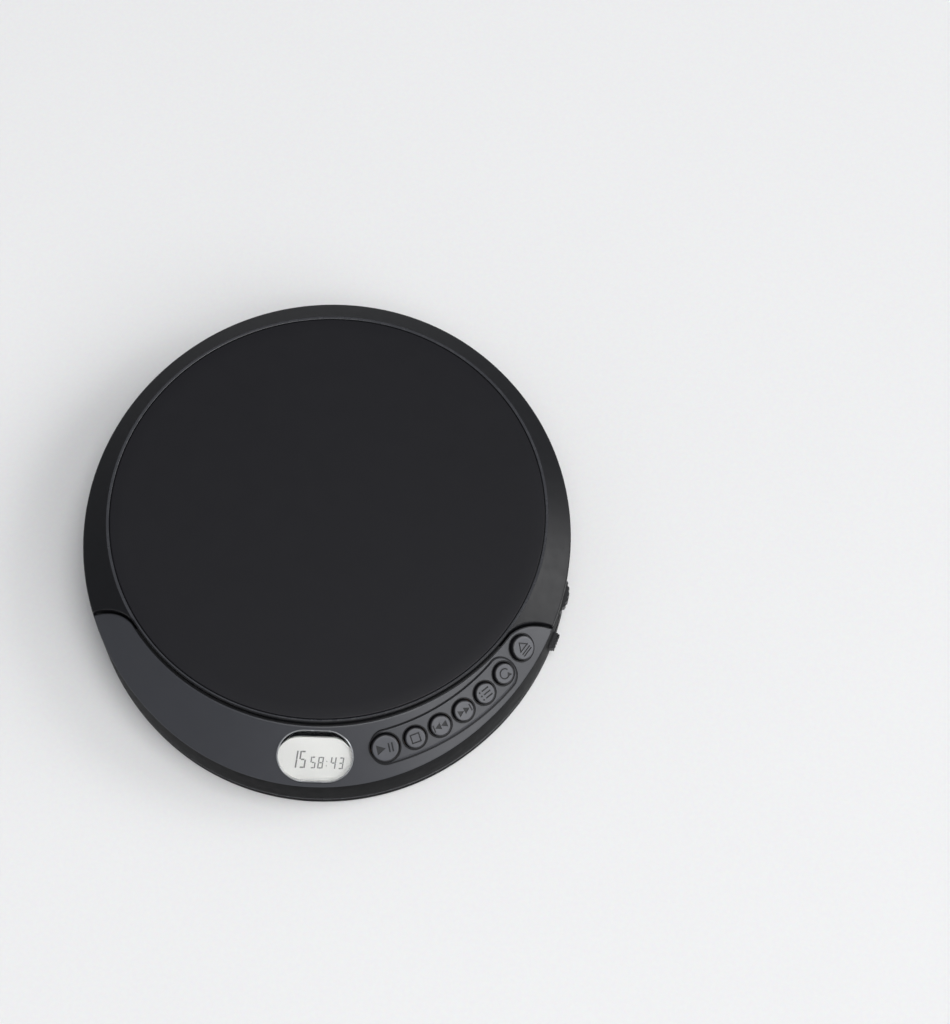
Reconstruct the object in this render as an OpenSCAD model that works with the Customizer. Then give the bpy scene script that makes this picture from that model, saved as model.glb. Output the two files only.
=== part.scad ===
// Portable compact disc player with a hinged lid, a sloping front control panel
// and a drive that hangs on rubber dampers under the disc well.
// Millimetres. X to the right, Y to the rear, Z up. The origin lies on the table,
// under the middle of the case.

/* [Case] */
// Width of the case
case_w = 140; // [139:1:147]
// Depth of the case, front to rear
case_d = 148; // [146:1:178]
// Height from the table to the top of the lid
case_h = 26.2; // [25:0.1:32]
// How much shorter the end curves' radius is than half the width
oval_pinch = 4; // [2:0.5:6]
// Thickness of the side walls
wall = 1.8; // [1.4:0.1:2.2]
// Thickness of the bottom of the lower case
floor_t = 1.4; // [1.2:0.1:1.8]
// Thickness of the deck under the disc
deck_t = 1.2; // [1:0.1:1.6]
// Height of the seam between the lower and the upper case
seam_z = 3.6; // [3.2:0.1:4.4]
// Height of the rubber feet below the case
foot_h = 0.8; // [0.6:0.1:1.6]
// Radius of the rubber feet
foot_r = 5; // [3:0.5:7]

/* [Disc] */
// Diameter of the compact disc
disc_d = 120; // [118:1:124]
// Diameter of the hole in the disc
disc_hole_d = 15; // [14.8:0.1:15.4]
// Room round the edge of the disc in its well
disc_room = 1.5; // [1:0.1:2]
// Height of the disc above the deck
disc_lift = 1.6; // [1.4:0.1:2.4]

/* [Lid] */
// How far the lid's round edge stands outside the disc
lid_margin = 3.3; // [3:0.1:4.5]
// Thickness of the lid
lid_t = 1.8; // [1.6:0.1:2.2]
// Thickness of the round panel set in the lid
lid_panel_t = 0.8; // [0.5:0.1:1]
// Width of the groove round the lid's panel
lid_groove = 0.5; // [0.3:0.1:0.8]
// Slope of the lid's shoulder, in degrees
shoulder_angle = 30; // [24:1:34]
// Width of the shoulder behind the lid's round edge
rear_shoulder = 6.1; // [5.5:0.1:7]
// Gap between the lid and the control panel
lid_gap = 0.7; // [0.5:0.1:1]
// Radius of the hinge pin
hinge_pin_r = 0.9; // [0.7:0.05:1]
// Distance of the hinge axis from the rear edge of the case
hinge_back = 4.8; // [4.6:0.1:5]

/* [Control panel] */
// Slope of the control panel, in degrees
panel_angle = 34.8; // [30:0.1:38]
// Thickness of the control panel
panel_t = 1.6; // [1.2:0.1:2]
// How far the panel's rear edge lies below the top of the lid
panel_drop = 0.9; // [0.5:0.1:1.4]
// Radius of the round ends of the panel beside the lid
horn_r = 13.5; // [11:0.5:15]
// Direction of those ends, in degrees forward of the sideways line
horn_angle = 35.5; // [32:0.5:39]
// Height of the raised field round the six keys
field_h = 0.35; // [0.2:0.05:0.6]
// Diameter of the play button
play_d = 7.8; // [6:0.1:8.4]
// Diameter of the five small keys
key_d = 6; // [5:0.1:6.4]
// Diameter of the open button
open_d = 7; // [6:0.1:7.4]
// Height of the buttons above the panel
key_proud = 1.3; // [0.9:0.1:1.8]
// Travel of the keys
key_travel = 0.7; // [0.4:0.1:0.9]
// Travel of the open button
open_travel = 1.2; // [0.8:0.1:1.3]
// Width of the display window
lcd_w = 21.5; // [18:0.5:23]
// Height of the display window along the slope
lcd_h = 15.4; // [12:0.1:15.8]

/* [Side controls] */
// Radius of the volume wheel
volume_r = 9; // [8:0.5:10]
// How far the volume wheel stands out of the wall
volume_proud = 1.35; // [1:0.05:1.4]
// Thickness of the volume wheel
volume_t = 2.6; // [2:0.1:3]
// Travel of the hold switch
hold_travel = 3; // [2:0.5:4]
// How far the hold knob stands out of the wall
hold_proud = 1.6; // [1:0.1:2]
// Radius of the earphone socket's bore
jack_bore_r = 1.8; // [1.78:0.01:1.85]
// Depth of the earphone socket's bore
jack_depth = 14; // [12:0.5:15]
// Radius of the power socket's bore
power_bore_r = 2.75; // [2:0.05:2.9]

/* [Battery bay] */
// Diameter of a cell
cell_d = 14.5; // [14:0.1:15]
// Length of a cell
cell_l = 50.5; // [49:0.5:52]
// Room round each cell
cell_room = 0.15; // [0.1:0.05:0.3]
// Room for the contacts at each end of a cell
contact_room = 4; // [3.5:0.1:5]
// Thickness of the battery door
door_t = 1.2; // [1:0.1:1.4]

/* [Drive] */
// Thickness of the chassis plate
chassis_t = 1.2; // [1:0.1:1.5]
// Radius of the spindle shaft
shaft_r = 1; // [0.8:0.05:1.2]
// Radius of the spindle motor
spindle_motor_r = 10; // [8:0.5:10.2]
// Radius of the turntable under the disc
table_r = 15; // [12:0.5:16]
// Radius of the guide rods
rod_r = 1.2; // [1:0.05:1.4]
// Distance of the lens from the spindle when the sled is fully in
lens_in = 23.5; // [22.5:0.5:24]
// Travel of the pickup sled
sled_travel = 33; // [26:0.5:33]
// Tooth module of the sled's gears
tooth_module = 0.8; // [0.6:0.05:0.8]
// Teeth on the drive gear
gear_teeth = 20; // [16:4:20]
// Teeth on the motor pinion
pinion_teeth = 10; // [8:2:12]

/* [Hidden] */
$fn = 96;

// Gap between pieces that move past each other
run = 0.3;
// Radial clearance of a shaft in its bore
slip = 0.05;
// Radial clearance of a piece fixed in its seat
seat = 0.03;
// Extra length of a cut past the face that it opens
over = 1;
// Reach of a cut that has to pass everything
far = 200;

// Outline of the case: two end arcs and two side arcs that run into each other
half_w = case_w / 2;
half_d = case_d / 2;
end_r = half_w - oval_pinch;
end_y = half_d - end_r;
side_r = (half_w * half_w + end_y * end_y - end_r * end_r) / (2 * oval_pinch);
side_x = side_r - half_w;
join_y = end_y / (side_r - end_r);

// Plan of the lid and the panel, from the spindle
lid_edge_r = disc_d / 2 + lid_margin;
well_r = disc_d / 2 + disc_room;
spindle_y = half_d - lid_edge_r - rear_shoulder;
panel_in_r = lid_edge_r + lid_gap;
front_r = half_d + spindle_y;
well_wall = 1.3;
horn_overlap = 0.15;
horn_reach = panel_in_r + horn_r - horn_overlap;

// Heights
floor_top = foot_h + floor_t;
deck_top = foot_h + door_t + 2 * cell_room + cell_d + deck_t;
deck_under = deck_top - deck_t;
disc_z = deck_top + disc_lift;
ledge_z = deck_top + 1.7;
lid_z = ledge_z + run;
lid_under = case_h - lid_t;
shelf_z = lid_under - run;
shelf_t = 1.6;
panel_top_z = case_h - panel_drop;
lid_rim_z = case_h - rear_shoulder * tan(shoulder_angle);
function panel_z(r) = panel_top_z - (r - panel_in_r) * tan(panel_angle);

// A deeper case has a level apron in front of the sloping panel
panel_run = 14.7;
apron_r = panel_in_r + panel_run;
apron_z = panel_z(apron_r);

// Hinge at the rear
hinge_y = half_d - hinge_back;
hinge_z = lid_z;
ear_r = hinge_pin_r + 0.6;
lug_in = 4.4;
lug_out = 7.9;
ear_in = lug_out + run;
ear_out = ear_in + 3.4;
trough_wall = 1.4;
trough_half = sqrt(pow(end_r, 2) - pow(hinge_y - end_y, 2)) + 1.5;
trough_steps = 8;
function rear_y(x) = end_y + sqrt(pow(end_r, 2) - pow(x, 2));
function trough_r(x) = norm([max(0, rear_y(x) - hinge_y), lid_rim_z - hinge_z]) + run;

// Keys lie on an arc of their own, turned forward from the spindle
key_arc_r = panel_in_r + 1;
key_arc_y = spindle_y - 6;
key_step = 6.8;
mode_at = -37.9;
program_at = mode_at - key_step;
forward_at = program_at - key_step;
back_at = forward_at - key_step;
stop_at = back_at - key_step;
play_at = stop_at - 7.7;
open_at = mode_at + 8.1;
KEYS = [
  [open_at, open_d], [play_at, play_d], [stop_at, key_d], [back_at, key_d],
  [forward_at, key_d], [program_at, key_d], [mode_at, key_d]
];
function key_place(at) = [key_arc_r * cos(at), key_arc_y - spindle_y + key_arc_r * sin(at)];
function key_az(at) = atan2(key_place(at)[1], key_place(at)[0]);
key_flange = 0.5;
key_flange_t = 0.7;
flange_top = panel_t + run;
flange_low = flange_top + key_flange_t;
dome_h = 0.6;
dome_r = 1.5;
flex_t = 0.5;
flex_depth = flange_low + key_travel + run + dome_h;
key_pocket = flange_low - panel_t + open_travel + run;
field_half = 3.75;
field_end_r = field_half + 0.15;

// Display
lcd_r = (panel_in_r + min(front_r, apron_r)) / 2;
window_top = 0.5;
window_t = 1.7;
glass_top = window_top + window_t + 0.2;
glass_t = 1.6;
frame_top = glass_top + 0.2;
glass_h = lcd_h - 3.2;
glass_w = lcd_w - 1.6;
glass_room = 0.1;
frame_h = lcd_h - 1.6;
frame_w = lcd_w + 0.8;
display_board_h = lcd_h - 1.7;
display_board_w = lcd_w + 3;
board_t = 1;

// Latch under the open button
latch_az = key_az(open_at);
hook_t = 1.2;
hook_w = 7;
hook_r = well_r + 0.2;
hook_barb = 0.6;
hook_low = 13.4;
hook_barb_t = 1.2;
latch_in = hook_r + hook_t + hook_barb + run;
latch_out = latch_in + 3.9;
latch_tongue_half = 2.9;
latch_body_half = 4.5;
latch_step = 1.4;
latch_tongue_t = 1;
latch_low = 12.4;
latch_spring_r = 1;
stem_r = 1.2;
stem_low = 5.2;

// Battery bay, in front of the spindle and under the deck
bay_wall = 1.2;
bay_l = cell_l + 2 * contact_room;
bay_w = 2 * cell_d + 3 * cell_room;
bay_y = spindle_y - 41.6;
bay_low = floor_top + 0.7;
cell_z = foot_h + door_t + cell_room + cell_d / 2;
door_l = bay_l - 2;
door_pin_r = 0.5;
door_pin_l = 2.5;
door_barrel_r = 0.8;
door_barrel_half = 24;
door_axis_y = bay_y + bay_w / 2 + 0.6;
door_axis_z = foot_h + 0.95;
door_front = bay_y - bay_w / 2 + 0.5;
door_block = 3;
door_block_h = floor_t + 0.4;
door_rear = 1.3;

// Case screws and feet
function by_spindle(list) = [for (p = list) [p[0], p[1] + spindle_y]];
SCREWS = by_spindle([[44, -40.6], [-44, -40.6], [54, 25.4], [-54, 25.4], [30, 55.4], [-30, 55.4]]);
FEET = [[40, 22 - half_d], [-40, 22 - half_d], [42, half_d - 26], [-42, half_d - 26]];
screw_r = 1.1;
screw_head_r = 2.4;
screw_head_t = 1.8;
screw_head_z = foot_h + 0.4;
screw_top = 12;
boss_r = 4.2;
boss_top = screw_head_z + screw_head_t + 1.4;
post_r = 3;
foot_sink = 0.5;

// Main board
board_low = floor_top + 1.2;
board_top = board_low + board_t;
board_room = wall + 2.5;
tongue_top = board_top - 0.1;
tongue_room = 0.22;
tongue_t = 1;
board_front = spindle_y - 22.1;
wing_front = spindle_y - 37.6;
wing_in = 34;
standoff_r = 1.8;
STANDOFFS = by_spindle([[48, -10.6], [-48, -12.6], [18, 45.4], [-20, 45.4], [40, 35.4], [-40, 35.4]]);

// Side controls on the right-hand wall
volume_y = spindle_y - 19.1;
volume_low = 11.4;
volume_shaft_r = 1.5;
hold_y = spindle_y - 30.6;
hold_z = 7.6;
hold_knob_w = 5;
hold_knob_h = 2.4;
hold_body_t = 4.5;
hold_body_gap = 1.5;
jack_y = spindle_y - 4.6;
jack_z = 8.2;
jack_sleeve_r = 2.9;
jack_sunk = 0.2;
power_y = spindle_y - 31.6;
power_sleeve_r = 3.6;

// Switch that feels the lid
lid_switch_az = 40;
lid_switch_r = panel_in_r + 0.6;
lid_pin_r = 0.9;
lid_pin_top = lid_under - 2;
lid_pin_travel = 1;
lid_switch_top = 13;

// Drive
chassis_low = 13;
chassis_top = chassis_low + chassis_t;
chassis_half = 16;
chassis_left = -64.4;
chassis_right = 14;
rod_y = 10.8;
rod_z = 10.2;
rod_left = chassis_left + 0.2;
rod_right = -9;
bracket_t = 1.8;
sled_in = -lens_in + 12;
sled_out = -lens_in - 5;
sled_half = 13;
sled_low = 7.8;
sled_top = chassis_low - 0.6;
turret_half_x = 3.5;
turret_half_y = 7.5;
turret_top = deck_top - 0.7;
lens_r = 2;
lens_top = turret_top + 0.3;
lens_low = turret_top - 2;
lens_room = 0.4;
slot_room = 1.5;
motor_low = 6.6;
motor_top = chassis_low - 0.1;
hub_r = disc_hole_d / 2 - 0.1;
hub_top = disc_z + 3.2;
table_t = 2;
ball_r = 0.7;
ball_proud = 0.2;
hub_seat = 1.3;
ball_z = disc_z + hub_seat + ball_r + 0.1;

// Gears of the sled drive
pitch = PI * tooth_module;
gear_r = tooth_module * gear_teeth / 2;
pinion_r = tooth_module * pinion_teeth / 2;
backlash = 0.16;
tooth_up = 0.85 * tooth_module;
tooth_down = 1.25 * tooth_module;
gear_low = 10.5;
gear_t = 1.5;
gear_pin_r = 1;
rack_back = sled_half + 1.2;
rack_line = rack_back + tooth_down;
gear_x = sled_out + 2.5;
gear_y = rack_line + gear_r;
pinion_x = gear_x + gear_r + pinion_r;
rack_left = gear_x - 3.2;
rack_right = gear_x + sled_travel + 3.2;
sled_motor_r = 6;
sled_motor_low = 5.2;
sled_motor_top = 9.2;
DAMPERS = [[10, -18.2], [10, 20.4], [-43, -18.2], [-43, 20.4]];
damper_post_r = 1.5;
damper_r = 3.2;
damper_waist_r = 2.3;
damper_lip = 0.8;
damper_ear_r = 5.6;

// Wound springs: wire radius, and points for each turn
wire_r = 0.22;
coil_steps = 8;
wire_pitch = 0.9;
cell_spring_r = 3;
cell_spring_turns = 3;

// Places a thing at the spindle
module at_spindle() translate([0, spindle_y, 0]) children();

// Places a thing on the control panel, with its +Z square to the slope and +X down it
module on_panel(az, r) {
  at_spindle() rotate([0, 0, az]) translate([r, 0, panel_z(r)]) rotate([0, panel_angle, 0]) children();
}

// Places a thing at a key
module at_key(at) on_panel(key_az(at), norm(key_place(at))) children();

// Places a thing on the side wall, with its +X square to the wall and its Z as in the case
module at_wall(y, side = 1) {
  a = asin(y / side_r);
  translate([side * (side_r * cos(a) - side_x), y, 0]) rotate([0, 0, side > 0 ? a : 180 - a]) children();
}

// Outline of the case, drawn in by a given amount
module outline(inset = 0) {
  y = end_y + (end_r - inset) * join_y;
  intersection() {
    translate([-side_x, 0]) circle(r = side_r - inset);
    translate([side_x, 0]) circle(r = side_r - inset);
    square([far, 2 * y], center = true);
  }
  for (s = [-1, 1]) intersection() {
    translate([0, s * end_y]) circle(r = end_r - inset);
    translate([-far / 2, s > 0 ? y : -y - far]) square([far, far]);
  }
}

// Upright block with the outline of the case
module block(low, high, inset = 0) translate([0, 0, low]) linear_extrude(high - low) outline(inset);

// Plan of the control panel: a wedge in front of the spindle and two round ends
module panel_plan(grow = 0, trim = 0) {
  a = horn_angle + trim;
  translate([0, spindle_y]) {
    polygon([[0, 0], far * [cos(a), -sin(a)], [0, -2 * far], far * [-cos(a), -sin(a)]]);
    for (s = [-1, 1])
      translate(horn_reach * [s * cos(horn_angle), -sin(horn_angle)]) circle(r = horn_r + grow);
  }
}

// Everything under the sloping surface of the panel, lowered square to the slope
module under_panel(depth = 0) {
  drop = depth / cos(panel_angle);
  at_spindle() rotate_extrude()
    polygon([[0, -far], [0, panel_top_z - drop], [panel_in_r, panel_top_z - drop],
             [apron_r, apron_z - drop], [2 * half_d, apron_z - drop], [2 * half_d, -far]]);
}

// Everything under the surface of the lid, lowered by its thickness
module under_lid(depth = 0) {
  drop = depth / cos(shoulder_angle);
  edge = depth > 0 ? lid_edge_r - (drop - depth) / tan(shoulder_angle) : lid_edge_r;
  low_z = case_h - (2 * half_d - lid_edge_r) * tan(shoulder_angle) - drop;
  top_z = case_h - depth;
  at_spindle() rotate_extrude()
    polygon([[0, -far], [0, top_z], [edge, top_z], [2 * half_d, low_z], [2 * half_d, -far]]);
}

// Bar with round ends, lying across the slope
module stadium(w, h, low, high) {
  translate([0, 0, low]) linear_extrude(high - low) {
    for (s = [-1, 1]) translate([0, s * (w - h) / 2]) circle(d = h);
    square([h, w - h], center = true);
  }
}

// Box between two corners
module box(a, b) translate(a) cube(b - a);

// Plate lying on the slope
module slab(h, w, low, high) box([-h / 2, -w / 2, low], [h / 2, w / 2, high]);

// Unit vector
function unit(v) = v / norm(v);

// Points of a coil about X, from x, round a centre
function coil(x, centre, r, step, turns, start = 0) = [
  for (i = [0 : turns * coil_steps])
    let (a = start + 360 * i / coil_steps)
      [x + step * i / coil_steps, centre[0] + r * cos(a), centre[1] + r * sin(a)]
];

// Tube along a list of points, with rings of six corners
module tube(path, ref = [1, 0, 0]) {
  sides = 6;
  n = len(path);
  rings = [
    for (i = [0 : n - 1])
      let (t = unit(path[min(i + 1, n - 1)] - path[max(i - 1, 0)]), u = unit(cross(ref, t)), v = cross(t, u))
        for (k = [0 : sides - 1]) path[i] + wire_r * (cos(60 * k) * u + sin(60 * k) * v)
  ];
  walls = [
    for (i = [0 : n - 2], k = [0 : sides - 1])
      let (a = i * sides + k, b = i * sides + (k + 1) % sides)
        each [[a, a + sides, b + sides], [a, b + sides, b]]
  ];
  last = (n - 1) * sides;
  caps = [for (k = [1 : sides - 2]) each [[0, k, k + 1], [last, last + k + 1, last + k]]];
  polyhedron(rings, concat(walls, caps));
}

// Least gap between the turns of a coil, measured on its points
function turn_gap(p) = min([
  for (i = [0 : len(p) - 1], j = [i + coil_steps / 2 : 1 : len(p) - 1]) norm(p[i] - p[j])
]) - 2 * wire_r;

// Involute of a flank at a radius, in degrees
function involute(a) = tan(a) * 180 / PI - a;
function tooth_half(teeth, r) =
  let (pr = tooth_module * teeth / 2, base = pr * cos(20), a = acos(min(1, base / r)))
    90 / teeth - backlash / (4 * pr) * 180 / PI + involute(20) - involute(a);

// Outline of a gear with a tooth at the given direction
module gear_plan(teeth, phase = 0) {
  pr = tooth_module * teeth / 2;
  low = pr - tooth_down;
  high = pr + tooth_up;
  flank = [for (i = [0 : 4]) low + (high - low) * i / 4];
  polygon([
    for (t = [0 : teeth - 1]) let (mid = phase + 360 * t / teeth) each concat(
      [for (r = flank) r * [cos(mid - tooth_half(teeth, r)), sin(mid - tooth_half(teeth, r))]],
      [for (i = [4 : -1 : 0]) let (r = flank[i], a = mid + tooth_half(teeth, r)) r * [cos(a), sin(a)]])
  ]);
}

// Tray under the seam, with a tongue inside the upper case, screw bosses and board pegs
module lower_case() color("#18191b") difference() {
  union() {
    difference() {
      block(foot_h, seam_z);
      block(floor_top, seam_z + over, wall);
    }
    difference() {
      block(floor_top - over, tongue_top, wall + tongue_room);
      block(floor_top - 2 * over, tongue_top + over, wall + tongue_room + tongue_t);
    }
    intersection() {
      for (p = SCREWS) translate([p[0], p[1], foot_h]) cylinder(r = boss_r, h = boss_top - foot_h);
      block(foot_h - over, boss_top + over, wall + tongue_room);
    }
    for (p = STANDOFFS) translate([p[0], p[1], foot_h]) cylinder(r = standoff_r, h = board_low - foot_h);
    for (s = [-1, 1])
      translate([s * (door_barrel_half + run + door_block / 2), door_axis_y, foot_h + door_block_h / 2])
        cube([door_block, 2 * door_rear, door_block_h], center = true);
  }
  difference() {
    box([-door_l / 2, door_front, -over], [door_l / 2, door_axis_y + door_rear, boss_top]);
    for (s = [-1, 1])
      translate([s * (door_barrel_half + run + door_block / 2), door_axis_y, 0])
        cube([door_block, 2 * door_rear, far], center = true);
  }
  translate([-door_l / 2, door_axis_y, door_axis_z]) rotate([0, 90, 0])
    cylinder(r = door_pin_r + slip, h = door_l);
  for (p = SCREWS) translate([p[0], p[1], 0]) {
    cylinder(r = screw_head_r + run, h = screw_head_z + screw_head_t);
    cylinder(r = screw_r + run, h = boss_top + over);
  }
  for (p = FEET) translate([p[0], p[1], 0]) cylinder(r = foot_r + seat, h = foot_h + foot_sink);
}

// Holes that the buttons run in, with room for their flanges below the panel
module key_holes() {
  for (k = KEYS) at_key(k[0]) {
    translate([0, 0, -panel_t - over]) cylinder(d = k[1] + 2 * run, h = panel_t + 4);
    translate([0, 0, -panel_t - key_pocket]) cylinder(d = k[1] + 2 * key_flange + 2 * run, h = key_pocket);
  }
  at_key(open_at) translate([0, 0, -stem_low - open_travel - run]) cylinder(r = stem_r + run, h = stem_low);
}

// Raised field round the six keys, as a strip between two arcs with round ends
module key_field() {
  intersection() {
    linear_extrude(far) translate([0, key_arc_y]) {
      intersection() {
        difference() {
          circle(r = key_arc_r + field_half);
          circle(r = key_arc_r - field_half);
        }
        polygon([[0, 0], far * [cos(play_at), sin(play_at)], far * [cos(mode_at), sin(mode_at)]]);
      }
      for (a = [play_at, mode_at])
        translate(key_arc_r * [cos(a), sin(a)]) circle(r = field_end_r);
    }
    difference() {
      under_panel(-field_h);
      under_panel(panel_t / 2);
    }
  }
}

// Openings in the right-hand and left-hand walls
module wall_holes() {
  chord = sqrt(pow(volume_r, 2) - pow(volume_r - volume_proud - wall, 2)) + 2 * run;
  at_wall(volume_y)
    box([-wall - over, -chord, volume_low - run], [over, chord, volume_low + volume_t + run]);
  at_wall(hold_y)
    box([-wall - over, -hold_knob_w / 2 - run, hold_z - hold_knob_h / 2 - run],
        [over, hold_knob_w / 2 + hold_travel + run, hold_z + hold_knob_h / 2 + run]);
  at_wall(jack_y) translate([-wall - over, 0, jack_z]) rotate([0, 90, 0])
    cylinder(r = jack_sleeve_r + seat, h = wall + 2 * over);
  at_wall(power_y, -1) translate([-wall - over, 0, jack_z]) rotate([0, 90, 0])
    cylinder(r = power_sleeve_r + seat, h = wall + 2 * over);
}

// Round body across the rear at the hinge
module hinge_bar(r, half) {
  translate([-half, hinge_y, hinge_z]) rotate([0, 90, 0]) cylinder(r = r, h = 2 * half);
}

// Room that the lid's rear edge swings in, as a round body about the hinge axis
module hinge_trough(grow = 0) translate([0, hinge_y, hinge_z]) rotate([0, 90, 0]) rotate_extrude()
  polygon(concat(
    [[0, -trough_half - grow]],
    [for (i = [-trough_steps : trough_steps]) let (x = i / trough_steps)
      [trough_r(x * trough_half) + grow, x * (trough_half + grow)]],
    [[0, trough_half + grow]]));

// Side wall, sloping control panel, disc well and deck in one moulding
module upper_case() color("#222326") {
  difference() {
    union() {
      difference() {
        block(seam_z, ledge_z);
        translate([0, 0, boss_top + post_r]) linear_extrude(case_h) panel_plan(-panel_t / 2, 1);
      }
      intersection() {
        translate([0, 0, seam_z]) linear_extrude(case_h) intersection() {
          outline();
          panel_plan();
        }
        under_panel();
      }
      key_field();
    }
    difference() {
      intersection() {
        block(seam_z - over, deck_under, wall);
        under_panel(panel_t);
      }
      intersection() {
        hinge_trough(trough_wall);
        block(seam_z, ledge_z);
      }
    }
    intersection() {
      translate([0, 0, deck_under - over]) linear_extrude(case_h) intersection() {
        outline(wall);
        panel_plan(-panel_t, 2);
      }
      under_panel(panel_t);
      at_spindle() difference() {
        cylinder(r = 2 * half_d, h = case_h);
        cylinder(r = well_r + well_wall, h = case_h);
        translate([0, 0, shelf_z - shelf_t]) cylinder(r = panel_in_r + well_wall, h = case_h);
      }
    }
    at_spindle() {
      translate([0, 0, deck_top]) cylinder(r = well_r, h = case_h);
      translate([0, 0, shelf_z]) cylinder(r = panel_in_r, h = case_h);
      translate([0, 0, seam_z]) cylinder(r = table_r + slot_room, h = case_h);
      rotate([0, 0, latch_az])
        box([hook_r - run, -hook_w / 2 - run, latch_low], [latch_in, hook_w / 2 + run, shelf_z + run]);
      rotate([0, 0, lid_switch_az]) translate([lid_switch_r, 0, seam_z])
        cylinder(r = lid_pin_r + slip, h = case_h);
      intersection() {
        box([-well_r, -turret_half_y - slot_room, seam_z],
            [-lens_in + turret_half_x + slot_room, turret_half_y + slot_room, case_h]);
        cylinder(r = well_r, h = case_h);
      }
    }
    difference() {
      hinge_trough();
      at_spindle() cylinder(r = well_r + well_wall, h = case_h);
    }
    key_holes();
    on_panel(-90, lcd_r) stadium(lcd_w + 2 * seat, lcd_h + 2 * seat, -window_top - window_t - over, 4);
    wall_holes();
    difference() {
      block(seam_z - over, seam_z + 0.4);
      block(seam_z - 2 * over, seam_z + over, 0.4);
    }
  }
  hinge_ears();
  posts();
  bay_walls();
}

// Ears that hold the hinge pin, carried on the rear of the disc well
module hinge_ears() difference() {
  for (s = [-1, 1]) translate([s * (ear_in + ear_out) / 2, 0, 0]) {
    hinge_bar(ear_r, (ear_out - ear_in) / 2);
    box([-(ear_out - ear_in) / 2, spindle_y + well_r - 0.2, hinge_z - ear_r],
        [(ear_out - ear_in) / 2, hinge_y, ledge_z]);
  }
  hinge_bar(hinge_pin_r + seat, ear_out + over);
}

// Posts for the case screws and for the drive's dampers
module posts() {
  for (p = SCREWS) translate([p[0], p[1], boss_top]) difference() {
    cylinder(r = post_r, h = deck_under - boss_top + deck_t / 2);
    translate([0, 0, -over]) cylinder(r = screw_r + seat, h = screw_top - boss_top + 2 * over);
  }
  at_spindle() for (p = DAMPERS) translate([p[0], p[1], chassis_low - damper_lip]) difference() {
    cylinder(r = damper_post_r, h = deck_under - chassis_low + damper_lip + deck_t / 2);
    translate([0, 0, -over]) cylinder(r = damper_post_r / 2 + seat, h = 3.4 + over);
  }
}

// Walls of the battery bay, hanging from the deck
module bay_walls() translate([0, bay_y, bay_low])
  linear_extrude(deck_under - bay_low + deck_t / 2) difference() {
    square([bay_l + 2 * bay_wall, bay_w + 2 * bay_wall], center = true);
    square([bay_l, bay_w], center = true);
  }

// Lid with its sloping shoulder, hinge lugs and latch hook
module lid_shell() color("#1c1d20") difference() {
  union() {
    difference() {
      intersection() {
        block(lid_z, case_h + over);
        under_lid();
      }
      difference() {
        intersection() {
          block(lid_z - over, case_h, wall);
          under_lid(lid_t);
        }
        difference() {
          translate([0, 0, lid_z - 2 * over]) linear_extrude(case_h) panel_plan(lid_gap + wall);
          at_spindle() cylinder(r = lid_edge_r, h = lid_under);
        }
      }
      difference() {
        translate([0, 0, lid_z - over]) linear_extrude(case_h) panel_plan(lid_gap);
        at_spindle() cylinder(r = lid_edge_r, h = 2 * case_h);
      }
    }
    for (s = [-1, 1]) translate([s * (lug_in + lug_out) / 2, 0, 0]) {
      hinge_bar(ear_r, (lug_out - lug_in) / 2);
      box([-(lug_out - lug_in) / 2, hinge_y - ear_r, hinge_z],
          [(lug_out - lug_in) / 2, hinge_y + ear_r - 0.2, lid_under + 0.2]);
    }
    at_spindle() rotate([0, 0, latch_az]) {
      box([hook_r, -hook_w / 2, hook_low], [hook_r + hook_t, hook_w / 2, lid_under + 0.2]);
      box([hook_r, -hook_w / 2, hook_low], [hook_r + hook_t + hook_barb, hook_w / 2, hook_low + hook_barb_t]);
    }
  }
  hinge_bar(hinge_pin_r + slip, far / 4);
  at_spindle() translate([0, 0, case_h - lid_panel_t]) cylinder(r = lid_edge_r - 0.7, h = lid_panel_t + over);
}

// Flat round panel set in the top of the lid
module lid_panel() color("#26272a") at_spindle() translate([0, 0, case_h - lid_panel_t])
  cylinder(r = lid_edge_r - 0.7 - lid_groove, h = lid_panel_t);

// Steel pin of the lid hinge
module hinge_pin() color("silver") hinge_bar(hinge_pin_r, ear_out - 0.4);

// Sprung coil round the hinge pin, with a leg to the well and a leg under the lid
lid_coil_r = hinge_pin_r + 0.25 + wire_r;
lid_coil = coil(-4 * wire_pitch, [hinge_y, hinge_z], lid_coil_r, wire_pitch, 8, -90);
module lid_spring() color("silver") {
  front = spindle_y + well_r + well_wall + wire_r + 0.1;
  first = lid_coil[0];
  last = lid_coil[len(lid_coil) - 1];
  tube(concat([[first[0], front, first[2]]], lid_coil, [[last[0], front, last[2]]]));
}

// Rubber feet let into the bottom
module feet() color("#101010") for (p = FEET) translate([p[0], p[1], 0])
  cylinder(r = foot_r, h = foot_h + foot_sink);

// Screws that join the two halves of the case
module case_screws() color("silver") for (p = SCREWS) translate([p[0], p[1], screw_head_z]) difference() {
  union() {
    cylinder(r = screw_head_r, h = screw_head_t);
    cylinder(r = screw_r, h = screw_top - screw_head_z);
  }
  for (a = [0, 90]) rotate([0, 0, a]) cube([2.8, 0.7, 1.6], center = true);
}

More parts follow.
